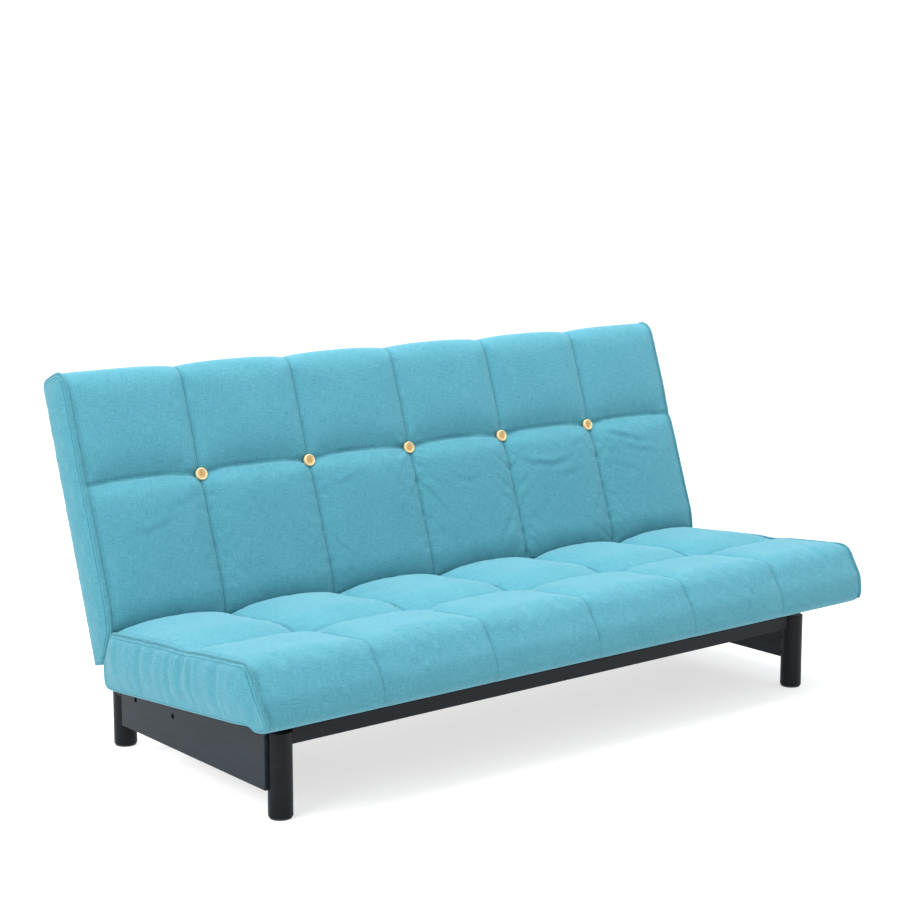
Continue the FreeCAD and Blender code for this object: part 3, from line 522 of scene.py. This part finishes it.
def crest(x, power):
    """Like pillow, but the end columns stay full out to the panel's side edges."""
    edge = from_end(x)
    return np.where(edge < COLUMN_PITCH / 2, 1 - 0.30 * bell(edge, 0.022), pillow(x, power))


def tufts(x):
    """Distance along X to the nearest column seam, the panel's ends left out."""
    return np.min([np.abs(x - seam) for seam in SEAMS], axis=0)


def waves(place, sizes, seed):
    """Sum of a few sine waves with fixed random phases, about -1 to 1."""
    dice = np.random.default_rng(seed)
    total = sum(np.sin(place * 2 * math.pi / size + dice.uniform(0, 6.28)) for size in sizes)
    return total / len(sizes)


# ---- the seat's shape ----

# Outlines are (y, z, corner radius) points. SEAT_ROW and BACK_ROW are where the tufts sit. In the
# shape, weight and groove functions, a number before bell, ease or waves is a depth in metres or a
# share, and those inside are places and widths in metres.

SEAT_TOP = 0.135
SEAT_ROW = 0.310
LIP = 0.012
seat_sides = rounded_outline([
    (-0.010, -LIP, 0.026),
    (0.050, -LIP, 0.004),
    (0.062, 0.000, 0.004),
    (SEAT_DEPTH, 0.000, 0.025),
    (SEAT_DEPTH, 0.057, 0.020),
    (0.644, SEAT_TOP, 0.030),
    (0.044, SEAT_TOP, 0.038),
    (0.010, 0.062, 0.120),
], splits=(0, 3, 5, 6))
seat = Panel("seat_cushion_cover", seat_sides, (54, 14, 54, 14), {2: [0.55]})


def shape_seat(points, on_side_panel):
    """Crowns of the seat's pillows, its mid-row tufts, bowed front and gathered side panels."""
    x, y, z = points.T
    crown = pillow(x, 2.4)
    near_row = bell(y - SEAT_ROW, 0.045) * (0.45 + 0.55 * ease(from_end(x), 0.0, 0.14))
    rear = ease(y, SEAT_ROW, SEAT_ROW + 0.10)
    lift = (0.004 + 0.014 * rear) * crown * (1 - 0.70 * near_row) + 0.006 * (1 - near_row)
    lift -= 0.012 * bell(tufts(x), 0.060) * bell(y - SEAT_ROW, 0.055)
    top = ease(z, 0.060, SEAT_TOP)
    z = z + top * lift
    front = 1 - ease(y, 0.020, 0.110)
    y = y - 0.007 * bell(z - 0.062, 0.042) * front * (0.4 + 0.6 * ease(from_end(x), 0.0, 0.04))
    bow = ease(z, -0.002, 0.060)
    y = y - front * 0.004 * (0.60 + 0.40 * pillow(x, 3.0) * bow) * ease(from_end(x), 0.0, 0.10)
    corner = (1 - ease(z, -0.010, 0.070)) * (1 - ease(y, 0.0, 0.130))
    x = x - np.sign(x) * 0.014 * corner * ease(np.abs(x), HALF_WIDTH - 0.080, HALF_WIDTH)
    side = on_side_panel * ease(np.abs(x), HALF_WIDTH - 0.030, HALF_WIDTH - 0.012)
    inside = ease(z, 0.004, 0.05) * (1 - ease(z, SEAT_TOP - 0.012, SEAT_TOP + 0.002))
    inside = inside * ease(y, 0.02, 0.07) * (1 - ease(y, 0.62, 0.67))
    slanted = y + 0.10 * (z - 0.06) * waves(y, (0.33, 0.47), 9)
    gather = waves(slanted, (0.034, 0.047, 0.026, 0.071), 3)
    gather = np.sign(gather) * np.abs(gather) ** 0.8 * (0.25 + 0.75 * ease(z, 0.03, 0.115))
    swell = 0.010 * ease(z, 0.0, 0.06) * (1 - 0.6 * ease(z, 0.08, SEAT_TOP)) + 0.0060 * gather
    x = x + np.sign(x) * side * inside * swell
    return np.column_stack([x, y, z])


# ---- the back's shape ----

BACK_FRONT = -0.109
BACK_TOP = 0.733
BACK_ROW = 0.444
back_sides = rounded_outline([
    (-0.034, 0.020, 0.006),
    (0.002, 0.021, 0.004),
    (-0.004, BACK_TOP - 0.004, 0.012),
    (BACK_FRONT, BACK_TOP, 0.036),
    (BACK_FRONT, 0.150, 0.080),
    (-0.100, 0.089, 0.025),
], splits=(0, 1, 2, 3))
back = Panel("back_cushion_cover", back_sides, (12, 60, 12, 60), {3: [0.38]})


def fold_height(x):
    """Height of the fold through the buttons: lowest at the buttons, arched between them."""
    return BACK_ROW + 0.012 * pillow(x, 2.0)


def shape_back(points, on_side_panel):
    """Crowns of the back's pillows, the fold through its buttons and its piped side edges."""
    x, y, z = points.T
    crown = pillow(x, 3.4)
    above = z - fold_height(x)
    front = ease(-y, 0.030, 0.085)
    upper = np.where(above > 0, 1 - np.exp(-(above / 0.062) ** 1.5),
                     1 - 0.55 * np.exp(-(above / 0.020) ** 2))
    lower_swell = np.where(above < 0, bell(above + 0.075, 0.085), 0)
    out = (0.0045 + 0.0045 * crown) * upper + 0.003 * crown * lower_swell
    inward = 0.4 + 0.6 * ease(from_end(x), 0.0, 0.06)
    out -= 0.0065 * bell(above, 0.013) * (0.5 + 0.5 * crown) * inward
    dimple = bell(tufts(x), 0.040) * bell(z - BACK_ROW, 0.036)
    out -= 0.004 * dimple
    near_end = ease(from_end(x), 0.0, 0.05)
    out = out * (0.75 + 0.25 * near_end)
    top = ease(z, BACK_TOP - 0.07, BACK_TOP)
    rise = 0.007 * crest(x, 2.4) * ease(z, BACK_TOP - 0.16, BACK_TOP)
    rise = rise * (0.35 + 0.65 * ease(-y, -0.004, 0.050))
    out = out * (1 - 0.25 * top)
    bottom = 1 - ease(z, 0.06, 0.13)
    y = y - front * out * (1 - 0.6 * bottom)
    z = z + rise
    inside = ease(z, 0.05, 0.10) * (1 - ease(z, BACK_TOP - 0.06, BACK_TOP))
    inside = inside * ease(-y, 0.004, 0.03) * (1 - ease(-y, 0.080, 0.100))
    swell = 0.007 + 0.0025 * waves(z, (0.052, 0.081, 0.034), 5)
    x = x + np.sign(x) * on_side_panel * inside * swell
    return np.column_stack([x, y, z])


# ---- cloth ----

def inflate(piece, weights, cap, slack):
    """Lets the cover puff up between its held seams, and keeps each point within cap of its start."""
    group = piece.vertex_groups.new(name="held")
    levels = np.round(weights * 20) / 20
    for level in np.unique(levels):
        if level > 0:
            group.add(np.flatnonzero(levels == level).tolist(), float(level), "REPLACE")
    cloth = piece.modifiers.new("cloth", "CLOTH")
    settings = cloth.settings
    settings.quality = 5
    settings.mass = 0.4
    settings.air_damping = 4
    settings.tension_stiffness = 18
    settings.compression_stiffness = 9
    settings.shear_stiffness = 6
    settings.bending_stiffness = 0.6
    settings.use_pressure = True
    settings.uniform_pressure_force = CLOTH_PRESSURE
    settings.shrink_min = slack
    settings.shrink_max = slack
    settings.vertex_group_mass = "held"
    settings.effector_weights.gravity = 0
    cloth.collision_settings.use_collision = False
    cloth.collision_settings.use_self_collision = False
    cloth.point_cache.frame_start = 1
    cloth.point_cache.frame_end = CLOTH_FRAMES
    scene = bpy.context.scene
    start = coordinates(piece.data)
    for step in range(1, CLOTH_FRAMES + 1):
        scene.frame_set(step)
    graph = bpy.context.evaluated_depsgraph_get()
    settled = coordinates(piece.evaluated_get(graph).data)
    piece.modifiers.remove(cloth)
    piece.vertex_groups.clear()
    scene.frame_set(1)
    move = settled - start
    length = np.linalg.norm(move, axis=1)
    limit = cap * np.tanh(length / cap) / np.maximum(length, 1e-9)
    return start + move * limit[:, None]


def smooth_weight(distance, held, free):
    """1 within held of a seam, falling to 0 at free."""
    return 1 - ease(distance, held, free)


def ring_arc_uv(panel):
    """UVs in metres: across and around on the shell, depth and height on the side panels."""
    mesh = panel.mesh
    layer = mesh.uv_layers.new(name="UVMap")
    size = len(panel.ring)
    places = panel.start
    total = panel.arc[-1] + np.linalg.norm(panel.ring[0] - panel.ring[-1])
    for polygon in mesh.polygons:
        corners = list(polygon.vertices)
        if polygon.index < panel.shell_faces:
            slots = [corner % size for corner in corners]
            wraps = 0 in slots and size - 1 in slots
            for loop, corner, slot in zip(polygon.loop_indices, corners, slots):
                v = total if wraps and slot == 0 else panel.arc[slot]
                layer.data[loop].uv = (places[corner][0], v)
        else:
            for loop, corner in zip(polygon.loop_indices, corners):
                layer.data[loop].uv = (places[corner][1], places[corner][2])
            polygon.material_index = 1


def subdivided(piece):
    modifier = piece.modifiers.new("smooth", "SUBSURF")
    modifier.levels = modifier.render_levels = 1
    graph = bpy.context.evaluated_depsgraph_get()
    fresh = bpy.data.meshes.new_from_object(piece.evaluated_get(graph))
    piece.modifiers.remove(modifier)
    old = piece.data
    piece.data = fresh
    bpy.data.meshes.remove(old)


def vertex_normals(mesh):
    flat = np.empty(len(mesh.vertices) * 3)
    mesh.vertices.foreach_get("normal", flat)
    return flat.reshape(-1, 3)


def finish_panel(panel, shape, weights, groove, cap, slack, axes, body, node):
    """Shapes, inflates, smooths, grooves and places one cover."""
    ring_arc_uv(panel)
    piece = new_object(panel.name, panel.mesh, fabric, side_fabric_painted_shade)
    shaped = shape(panel.start, panel.ring_index < 0)
    set_coordinates(panel.mesh, shaped)
    shaped = inflate(piece, weights(panel.start), cap, slack)
    set_coordinates(piece.data, shaped)
    subdivided(piece)
    mesh = piece.data
    points = coordinates(mesh)
    points = groove(points, vertex_normals(mesh))
    set_coordinates(mesh, points)
    shade_smooth(mesh)
    set_coordinates(mesh, [axes @ Vector(p) for p in points])
    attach(piece, body)
    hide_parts(node)
    return piece, points


def seat_weights(points):
    x, y, z = points.T
    held = smooth_weight(tufts(x), 0.002, 0.020) * (0.80 + 0.20 * bell(y - SEAT_ROW, 0.06))
    held = np.maximum(held, 1 - ease(z, 0.004, 0.030))
    held = np.maximum(held, ease(y, 0.665, 0.690))
    edge = from_end(x)
    welt = smooth_weight(edge, 0.006, 0.016) * (1 - ease(-edge, -0.004, 0.0))
    held = np.maximum(held, welt)
    row = bell(y - SEAT_ROW, 0.010) * 0.75
    held = np.maximum(held, 0.55 * (1 - ease(y, 0.01, 0.06)))
    return np.clip(np.maximum(held, row), 0, 1)


def wrinkles(x, z, seed, angle, size, spread):
    """Fine creases running away from the column seams at an angle, fading within spread."""
    aside = tufts(x)
    slant = z + math.tan(angle) * aside
    uneven = waves(slant, (size, size * 1.7, size * 0.63), seed)
    sharp = np.sign(uneven) * np.abs(uneven) ** 1.4
    patchy = 0.45 + 0.55 * waves(x * 0.7 + z, (0.31, 0.52), seed + 1)
    return sharp * bell(aside - 0.018, spread) * patchy


def seat_groove(points, normals):
    x, y, z = points.T
    skin = ease(from_end(x), 0.004, 0.012)
    upper = np.maximum(ease(z, 0.02, 0.06), 0.2) * (0.45 + 0.55 * ease(y, 0.06, 0.28))
    depth = 0.0035 * bell(tufts(x), 0.0034) * upper
    depth = depth + 0.0022 * bell(tufts(x), 0.012) * upper
    puckers = waves(y, (0.017, 0.029, 0.041), 11) * bell(tufts(x) - 0.016, 0.014)
    depth = depth + 0.0011 * puckers * upper
    row = y - SEAT_ROW - 0.004 * waves(x, (0.23, 0.41), 4)
    crease = bell(row, 0.006) * (0.25 + 0.75 * bell(tufts(x), 0.075)) * ease(z, 0.10, 0.13)
    depth = depth + 0.0045 * crease
    return points - normals * (depth * skin)[:, None]


# slack creases below the buttons: middle, height, half width, sag, slope and depth
DRAPES = (
    (0.47, 0.340, 0.105, 0.026, -0.04, 0.0030),
    (0.54, 0.305, 0.060, 0.010, 0.05, 0.0014),
    (0.78, 0.392, 0.100, 0.006, -0.30, 0.0022),
    (0.84, 0.345, 0.085, -0.006, -0.22, 0.0016),
    (0.77, 0.300, 0.060, 0.004, -0.34, 0.0012),
    (0.16, 0.330, 0.060, 0.012, -0.12, 0.0014),
    (0.60, 0.395, 0.045, 0.000, 0.50, 0.0014),
    (-0.24, 0.372, 0.055, 0.010, 0.20, 0.0014),
    (-0.83, 0.318, 0.090, 0.010, 0.28, 0.0014),
    (-0.74, 0.372, 0.060, 0.004, 0.42, 0.0012),
)


def back_weights(points):
    x, y, z = points.T
    held = smooth_weight(tufts(x), 0.002, 0.020) * 0.85
    held = np.maximum(held, ease(y, -0.012, 0.0))
    held = np.maximum(held, 1 - ease(z, 0.03, 0.08))
    edge = from_end(x)
    held = np.maximum(held, smooth_weight(edge, 0.006, 0.016) * (1 - ease(-edge, -0.004, 0.0)))
    held = np.maximum(held, bell(z - fold_height(x), 0.012) * 0.95)
    held = np.maximum(held, 0.9 * ease(z, BACK_TOP - 0.04, BACK_TOP - 0.01))
    return np.clip(held, 0, 1)


def back_groove(points, normals):
    x, y, z = points.T
    skin = ease(from_end(x), 0.004, 0.012) * ease(-y, 0.0, 0.02)
    depth = 0.0024 * bell(tufts(x), 0.0032) + 0.0013 * bell(tufts(x), 0.012)
    puckers = waves(z, (0.019, 0.031, 0.047), 13) * bell(tufts(x) - 0.017, 0.015)
    low = 0.4 + 0.6 * ease(BACK_ROW - z, -0.02, 0.05)
    depth = depth + 0.0009 * puckers * low
    below = ease(BACK_ROW - z, 0.0, 0.06) * (0.45 + 0.55 * ease(x, -0.6, 0.5))
    depth = depth + 0.0034 * wrinkles(x, z, 31, 0.9, 0.048, 0.070) * below
    depth = depth + 0.0024 * wrinkles(x, z, 37, -0.7, 0.036, 0.050) * below
    for middle, height, half, sag, slope, deep in DRAPES:
        away = (x - middle) / half
        curve = height + sag * away ** 2 + slope * (x - middle)
        line = z - curve - 0.003 * waves(x, (0.06, 0.11), 17)
        fold = bell(line, 0.007) - 0.8 * bell(line - 0.016, 0.010)
        depth = depth + deep * fold * bell(away, 0.75)
    fold = z - fold_height(x) - 0.002 * waves(x, (0.19, 0.33), 8)
    inward = 0.35 + 0.65 * ease(from_end(x), 0.0, 0.06)
    depth = depth + 0.0045 * inward * bell(fold, 0.0050) * ease(-y, 0.06, 0.09)
    radial = np.hypot(tufts(x), z - BACK_ROW)
    angle = np.arctan2(z - BACK_ROW, x)
    rays = np.sin(angle * 9 + 1.3) * bell(radial - 0.034, 0.020)
    depth = depth + 0.0012 * rays * ease(-y, 0.06, 0.09)
    depth = depth + 0.0020 * bell(radial, 0.020) * ease(-y, 0.05, 0.08)
    return points - normals * (depth * skin)[:, None]


seat_cover, seat_points = finish_panel(
    seat, shape_seat, seat_weights, seat_groove, cap=0.009, slack=-0.018, axes=seat_axes,
    body="seat", node="seat_cushion")
back_cover, back_points = finish_panel(
    back, shape_back, back_weights, back_groove, cap=0.006, slack=-0.010, axes=back_axes,
    body="back", node="back_cushion")


# ---- piping, stitching and rear cover ----

def tube_along(name, path, radius, material, sides=8):
    """Round cord along a path of points, with closed ends."""
    path = np.asarray(path)
    tangents = np.gradient(path, axis=0)
    tangents /= np.linalg.norm(tangents, axis=1)[:, None]
    points = []
    reference = np.array((1.0, 0.0, 0.0))
    for place, tangent in zip(path, tangents):
        first = reference - tangent * (reference @ tangent)
        first /= np.linalg.norm(first)
        second = np.cross(tangent, first)
        for k in range(sides):
            angle = 2 * math.pi * k / sides
            points.append(place + radius * (math.cos(angle) * first + math.sin(angle) * second))
    faces = []
    for i in range(len(path) - 1):
        for k in range(sides):
            n = (k + 1) % sides
            faces.append((i * sides + k, i * sides + n, (i + 1) * sides + n, (i + 1) * sides + k))
    faces.append(tuple(range(sides))[::-1])
    faces.append(tuple(range((len(path) - 1) * sides, len(path) * sides)))
    mesh = mesh_from(name, points, faces)
    layer = mesh.uv_layers.new(name="UVMap")
    runs = np.r_[0, np.cumsum(np.linalg.norm(np.diff(path, axis=0), axis=1))]
    girth = 2 * math.pi * radius / sides
    for polygon in mesh.polygons:
        for loop, corner in zip(polygon.loop_indices, polygon.vertices):
            layer.data[loop].uv = (runs[corner // sides], (corner % sides) * girth)
    shade_smooth(mesh)
    return new_object(name, mesh, material)


def evenly(path, step):
    """Points evenly spaced along a path."""
    path = np.asarray(path)
    runs = np.r_[0, np.cumsum(np.linalg.norm(np.diff(path, axis=0), axis=1))]
    places = np.arange(0, runs[-1], step)
    return np.stack([np.interp(places, runs, path[:, k]) for k in range(3)], axis=1)


STITCH = 0.0056
STITCH_GAP = 0.0030
THREAD_RADIUS = 0.0008
STITCH_ASIDE = BESIDE_SEAM[1]
STITCH_FROM_END = 0.020
PIPING_RADIUS = 0.0036
PIPING_LIFT = 0.0016
PIPING_STEP = 0.006
# a stitch's rings: share of its length, share of its girth, height in thread radii
STITCH_PROFILE = ((0.0, 0.25, -0.9), (0.18, 0.9, 0.0), (0.5, 1.0, 0.45), (0.82, 0.9, 0.0),
                  (1.0, 0.25, -0.9))
STITCH_SIDES = 5


def along_path(path, runs, at):
    """Point or vector at a distance along a path."""
    return np.array([np.interp(at, runs, path[:, k]) for k in range(3)])


def stitches(name, paths, axes, body):
    """Rows of sunken topstitches, each a short thread with tapered ends."""
    points = []
    faces = []
    sides = STITCH_SIDES
    for path, normals in paths:
        path = np.asarray(path)
        runs = np.r_[0, np.cumsum(np.linalg.norm(np.diff(path, axis=0), axis=1))]
        for start in np.arange(0.004, runs[-1] - STITCH, STITCH + STITCH_GAP):
            first = along_path(path, runs, start)
            last = along_path(path, runs, start + STITCH)
            up = along_path(normals, runs, start + STITCH / 2)
            run = last - first
            run /= np.linalg.norm(run)
            up -= run * (up @ run)
            up /= np.linalg.norm(up)
            aside = np.cross(run, up)
            base = len(points)
            for along, girth, height in STITCH_PROFILE:
                centre = first + (last - first) * along + up * height * THREAD_RADIUS
                for k in range(sides):
                    angle = 2 * math.pi * k / sides
                    out = math.cos(angle) * aside + math.sin(angle) * up
                    points.append(centre + girth * THREAD_RADIUS * out)
            for ring in range(len(STITCH_PROFILE) - 1):
                low = base + ring * sides
                for k in range(sides):
                    n = (k + 1) % sides
                    faces.append((low + k, low + n, low + sides + n, low + sides + k))
            faces.append(tuple(base + k for k in range(sides))[::-1])
            faces.append(tuple(base + (len(STITCH_PROFILE) - 1) * sides + k for k in range(sides)))
    placed = [axes @ Vector(p) for p in points]
    mesh = mesh_from(name, placed, faces)
    shade_smooth(mesh)
    piece = new_object(name, mesh, thread_material)
    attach(piece, body)


def station_index(panel, x):
    """The station nearest to x."""
    return int(np.argmin([abs(station[0] - x) for station in panel.stations]))


def ring_path(panel, points, normals, station, ring_range):
    """Points and normals of part of one ring."""
    size = len(panel.ring)
    index = [station * size + i % size for i in ring_range]
    return points[index], normals[index]


def trim(panel, cover, points, axes, body, seam_start, piping_start):
    """Piping and one row of stitches by each side panel, two rows on each column seam."""
    count = len(panel.start)
    turn = axes.to_3x3().inverted()
    normals = np.array([turn @ vertex.normal for vertex in cover.data.vertices[:count]])
    points = points[:count]
    end = len(panel.ring) + 1
    rows = []
    for seam in SEAMS:
        for aside in (-STITCH_ASIDE, STITCH_ASIDE):
            station = station_index(panel, seam + aside)
            rows.append(ring_path(panel, points, normals, station, range(seam_start, end)))
    for side, sign in (("left", -1), ("right", 1)):
        station = station_index(panel, sign * (HALF_WIDTH - EDGE_ROUND))
        path, out = ring_path(panel, points, normals, station, range(piping_start, end))
        cord = [axes @ Vector(p) for p in evenly(path + out * PIPING_LIFT, PIPING_STEP)]
        piping = tube_along(f"{body}_piping_{side}", cord, PIPING_RADIUS, piping_fabric_painted_shade)
        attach(piping, body)
        beside = station_index(panel, sign * (HALF_WIDTH - STITCH_FROM_END))
        rows.append(ring_path(panel, points, normals, beside, range(piping_start, end)))
    stitches(f"{body}_topstitching", rows, axes, body)


seat_rear_top = sum(seat.counts[:2])
back_top_rear = sum(back.counts[:2])
trim(seat, seat_cover, seat_points, seat_axes, "seat", seat_rear_top - 4, seat.counts[0])
trim(back, back_cover, back_points, back_axes, "back", back_top_rear + 2, back_top_rear)


def rear_panel():
    """Thin padded panel that closes the back, sewn round its edge, its corners rounded."""
    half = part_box("rear_cover")[1].x
    foot, top = 0.045, 0.744
    columns, rows = 120, 46
    radius = 0.030
    inner_face, outer_face = 0.0022, 0.0040
    points = []
    for outer in (True, False):
        for j in range(rows + 1):
            for i in range(columns + 1):
                u, w = 2 * i / columns - 1, j / rows
                x, z = u * half, foot + w * (top - foot)
                cx = min(max(x, radius - half), half - radius)
                cz = min(max(z, foot + radius), top - radius)
                away = math.hypot(x - cx, z - cz)
                if x != cx and z != cz:
                    reach = radius / away if away > radius else 1
                    x, z = cx + (x - cx) * reach, cz + (z - cz) * reach
                edge = min(half - abs(x), z - foot, top - z)
                swell = 0.0030 * ease(edge, 0.0, 0.030) - 0.0016 * bell(edge - 0.016, 0.003)
                ripple = 0.0007 * waves(x + 0.3 * z, (0.21, 0.37, 0.13), 21) * ease(edge, 0.02, 0.12)
                y = outer_face + swell + ripple if outer else inner_face
                points.append((x, y, z))
    count = (rows + 1) * (columns + 1)
    faces = []
    for j in range(rows):
        for i in range(columns):
            a = j * (columns + 1) + i
            quad = (a, a + 1, a + columns + 2, a + columns + 1)
            faces.append(quad[::-1])
            faces.append(tuple(count + k for k in quad))
    rim = list(range(columns + 1))
    rim += [j * (columns + 1) + columns for j in range(1, rows + 1)]
    rim += [rows * (columns + 1) + i for i in range(columns - 1, -1, -1)]
    rim += [j * (columns + 1) for j in range(rows - 1, 0, -1)]
    for a, b in zip(rim, rim[1:] + rim[:1]):
        faces.append((a, b, count + b, count + a))
    mesh = mesh_from("rear_cover_panel", points, faces)
    layer = mesh.uv_layers.new(name="UVMap")
    for polygon in mesh.polygons:
        for loop, corner in zip(polygon.loop_indices, polygon.vertices):
            layer.data[loop].uv = (points[corner][0], points[corner][2])
    fixer = bmesh.new()
    fixer.from_mesh(mesh)
    bmesh.ops.recalc_face_normals(fixer, faces=fixer.faces)
    fixer.to_mesh(mesh)
    fixer.free()
    mesh.transform(back_axes)
    shade_smooth(mesh)
    panel = new_object("rear_cover_panel", mesh, side_fabric_painted_shade)
    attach(panel, "back")
    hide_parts("rear_cover")


rear_panel()


# ---- floor, light and camera ----

def soft_light(name, place, target, size, energy):
    """A rectangular lamp that faces its target."""
    data = bpy.data.lights.new(name, "AREA")
    data.shape = "RECTANGLE"
    data.size, data.size_y = size
    data.energy = energy
    lamp = bpy.data.objects.new(name, data)
    bpy.context.scene.collection.objects.link(lamp)
    lamp.location = place
    lamp.rotation_euler = (Vector(target) - Vector(place)).to_track_quat("-Z", "Y").to_euler()


FLOOR = 30
floor_mesh = mesh_from("floor", [(-FLOOR, -FLOOR, 0), (FLOOR, -FLOOR, 0), (FLOOR, FLOOR, 0),
                                 (-FLOOR, FLOOR, 0)], [(0, 1, 2, 3)])
floor_material, _, floor_shader = new_material("studio_floor")
floor_shader.inputs["Base Color"].default_value = (0.50, 0.50, 0.50, 1)
floor_shader.inputs["Roughness"].default_value = 0.9
floor_shader.inputs["Specular IOR Level"].default_value = 0.1
floor_shader.inputs["Emission Color"].default_value = (1, 1, 1, 1)
floor_shader.inputs["Emission Strength"].default_value = 0.62
floor = new_object("studio_floor", floor_mesh, floor_material)

world = bpy.data.worlds.new("studio")
bpy.context.scene.world = world
world.use_nodes = True
background = world.node_tree.nodes["Background"]
background.inputs["Color"].default_value = (1, 1, 1, 1)
background.inputs["Strength"].default_value = 1.06
soft_light("key", (-4.4, -0.6, 2.6), (-0.6, 0, 0.3), size=(2.6, 2.2), energy=150)
soft_light("top", (0.4, 0.2, 4.4), (0, 0, 0.3), size=(4.0, 2.0), energy=270)

CAMERA_FROM_LEG = Vector((-3.2974, -3.6336, 1.5607))
CAMERA_YAW = math.radians(38.89)
CAMERA_PITCH = math.radians(9.31)
CAMERA_LENS = 80.06
leg_low, leg_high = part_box("front_leg_left")
camera_data = bpy.data.cameras.new("camera")
camera_data.lens = CAMERA_LENS
camera_data.sensor_width = 36
camera = bpy.data.objects.new("camera", camera_data)
bpy.context.scene.collection.objects.link(camera)
camera.location = Vector((0, (leg_low.y + leg_high.y) / 2, 0)) + CAMERA_FROM_LEG
camera.rotation_euler = (math.pi / 2 - CAMERA_PITCH, 0, -CAMERA_YAW)
bpy.context.scene.camera = camera
bpy.context.scene.view_settings.view_transform = "Standard"
